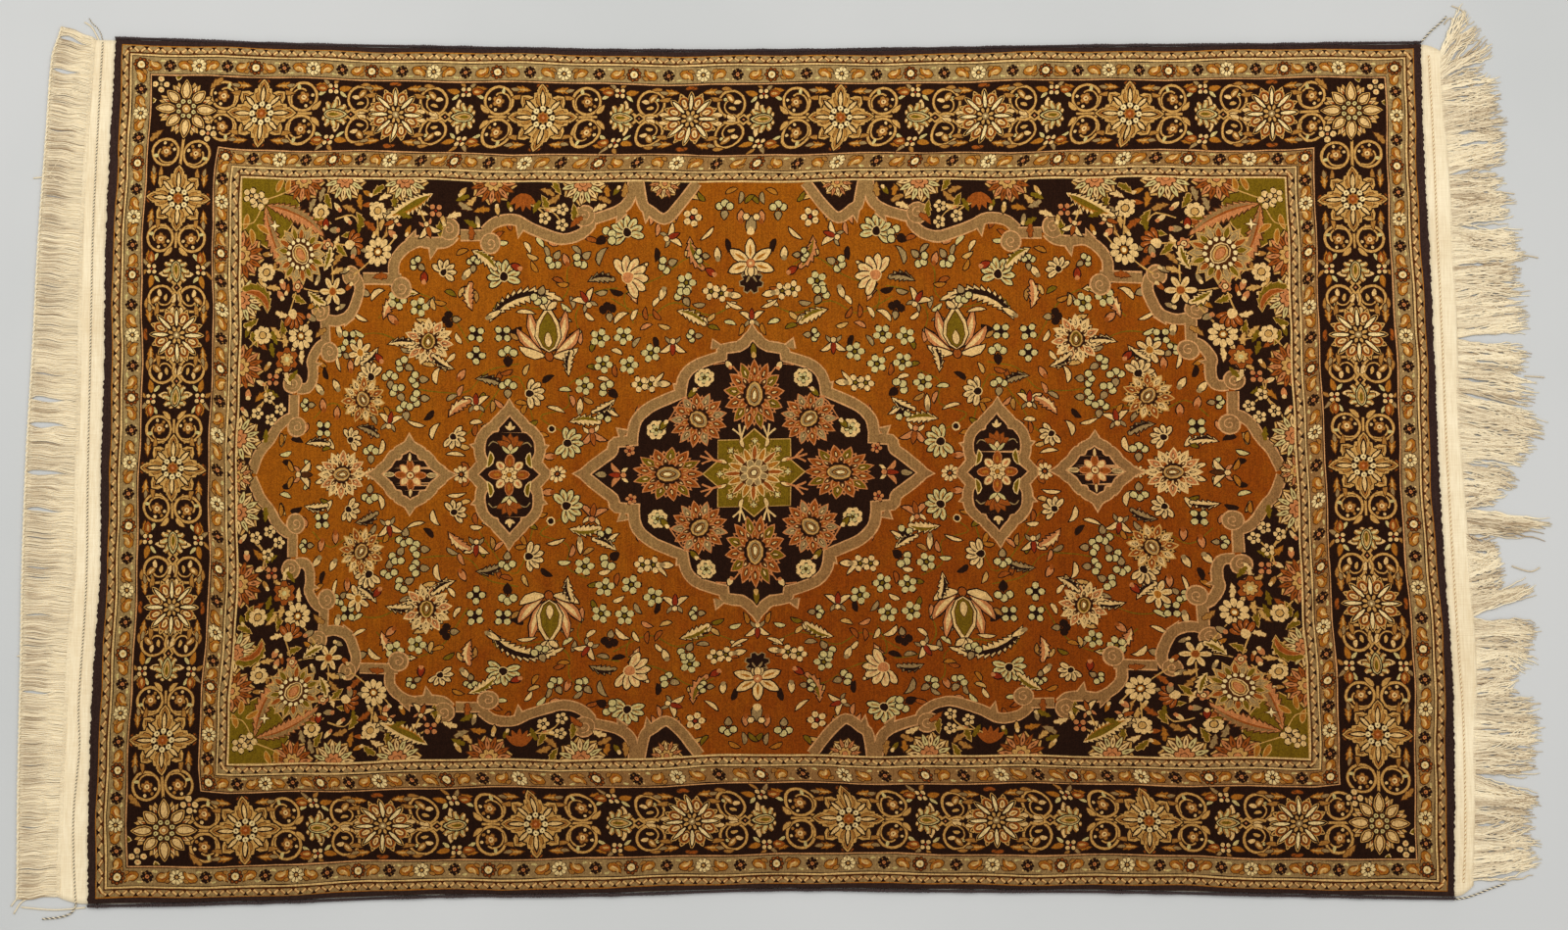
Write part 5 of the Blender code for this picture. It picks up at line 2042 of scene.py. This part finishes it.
RIGHT_STRAYS = (
    ((1040, 392), (1054, 390), (1068, 388)), ((1070, 298), (1084, 297), (1098, 294)),
    ((1070, 122), (1086, 121), (1099, 120)), ((1040, -150), (1066, -158), (1080, -152)),
    ((1010, 640), (1004, 660), (988, 668)), ((1000, 636), (986, 650), (976, 640)),
)
strands = []
for root_first, root_last, first_x, first_y, last_x, last_y, bow in RIGHT_LOCKS:
    tuft_left = 0
    count = max(14, round((root_first - root_last) / 0.72))
    for n in range(count + 1):
        t = n / count
        if tuft_left == 0:
            # a few neighbouring yarns cling together
            tuft_left = random.randint(4, 12)
            lean, tuft_wave, tuft_turn = random.gauss(0, 6), random.gauss(0, 4.5), random.uniform(0, math.tau)
            tuft_reach, tuft_top = random.uniform(0.84, 1.0), random.uniform(0, 2.6)
            tuft_tone = random.uniform(0.55, 0.9)
        tuft_left -= 1
        root_y = mix(root_first, root_last, t) + random.uniform(-1.0, 1.0)
        share = min(1, max(-1, (root_y - 5) / 600))
        root = complex(weave_point("right", 1, share).real - 4, root_y)
        tip = complex(mix(first_x, last_x, t) + bow * math.sin(math.pi * t), mix(first_y, last_y, t))
        tip = mix(root, tip, tuft_reach * random.uniform(0.82, 1.03))
        tip += 1j * (lean + random.gauss(0, 4.5))
        side = (tip - root) * 1j / abs(tip - root)
        wave, phase = tuft_wave + random.gauss(0, 2.4), tuft_turn + random.gauss(0, 0.6)
        crimp, crimp_turn = random.uniform(0.5, 1.5), random.uniform(0, math.tau)
        crimps = random.uniform(18, 30)
        tone = min(1.0, max(0.25, tuft_tone + random.uniform(-0.25, 0.25)))
        path = []
        for step in range(13):
            s = step / 12
            swing = wave * (math.sin(phase + 4.5 * s) - math.sin(phase)) * s
            swing += crimp * math.sin(crimp_turn + crimps * s) * min(1, 3 * s)
            height = 1.1 + (0.2 + tuft_top) * math.sin(math.pi * min(1, s * 1.1))
            path.append(to_frame(mix(root, tip, s) + side * swing, height))
        strands.append((path, [0.85] + [0.95] * 9 + [0.85, 0.7, 0.45], tone))
strands += strays(RIGHT_STRAYS, 1.3, 0.9, 0.6)
right_fringe = yarns("fringe_right_yarns", strands, fringe_cotton, "cotton", "fringe_right", sides=4)

# %% [markdown]
# ## Twined lines on the flat ends
#
# A line of two-coloured twining runs across each flat-woven end to lock the wefts. From
# above, its two yarns show in turn, as a dotted line.

# %% Twined lines
LEFT_TWINING = ((-958, 606), (-960, 530), (-962, 410), (-963, 325), (-961, 160), (-959, -12), (-956, -176),
                (-961, -334), (-958, -397), (-963, -483), (-961, -546), (-956, -611))
RIGHT_TWINING = ((951, 593), (953, 460), (953, 327), (954, 180), (954, 29), (955, -49), (957, -167),
                 (960, -291), (962, -350), (961, -440), (958, -529), (953, -590))
gold_and_light = yarn_finish("yarn_gold_and_light", (252, 236, 196), (190, 138, 76))
twined_lines = [
    yarns(name, twined(smooth(marks(route), 6), 2.3, pitch, (0.0, 1.0, 1.0), 1.8), finish, "cord", sides=4)
    for name, route, pitch, finish in (
        ("twining_left", LEFT_TWINING, 4.8, dark_and_light),
        ("twining_right", RIGHT_TWINING, 6.0, gold_and_light),
    )
]

# %% [markdown]
# ## The cloth and its sizes
#
# The rug is one sheet laid on the floor. Its flat size is the knotted width inside the
# overcast sides by the length with both flat-woven ends. The bounds of the CAD model
# and of the new scene are printed.

# %% Sizes
new_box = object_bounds()
for word, low, high in (("cad", *cad_box), ("scene", *new_box)):
    print(word, [round(v, 4) for v in low], [round(v, 4) for v in high])
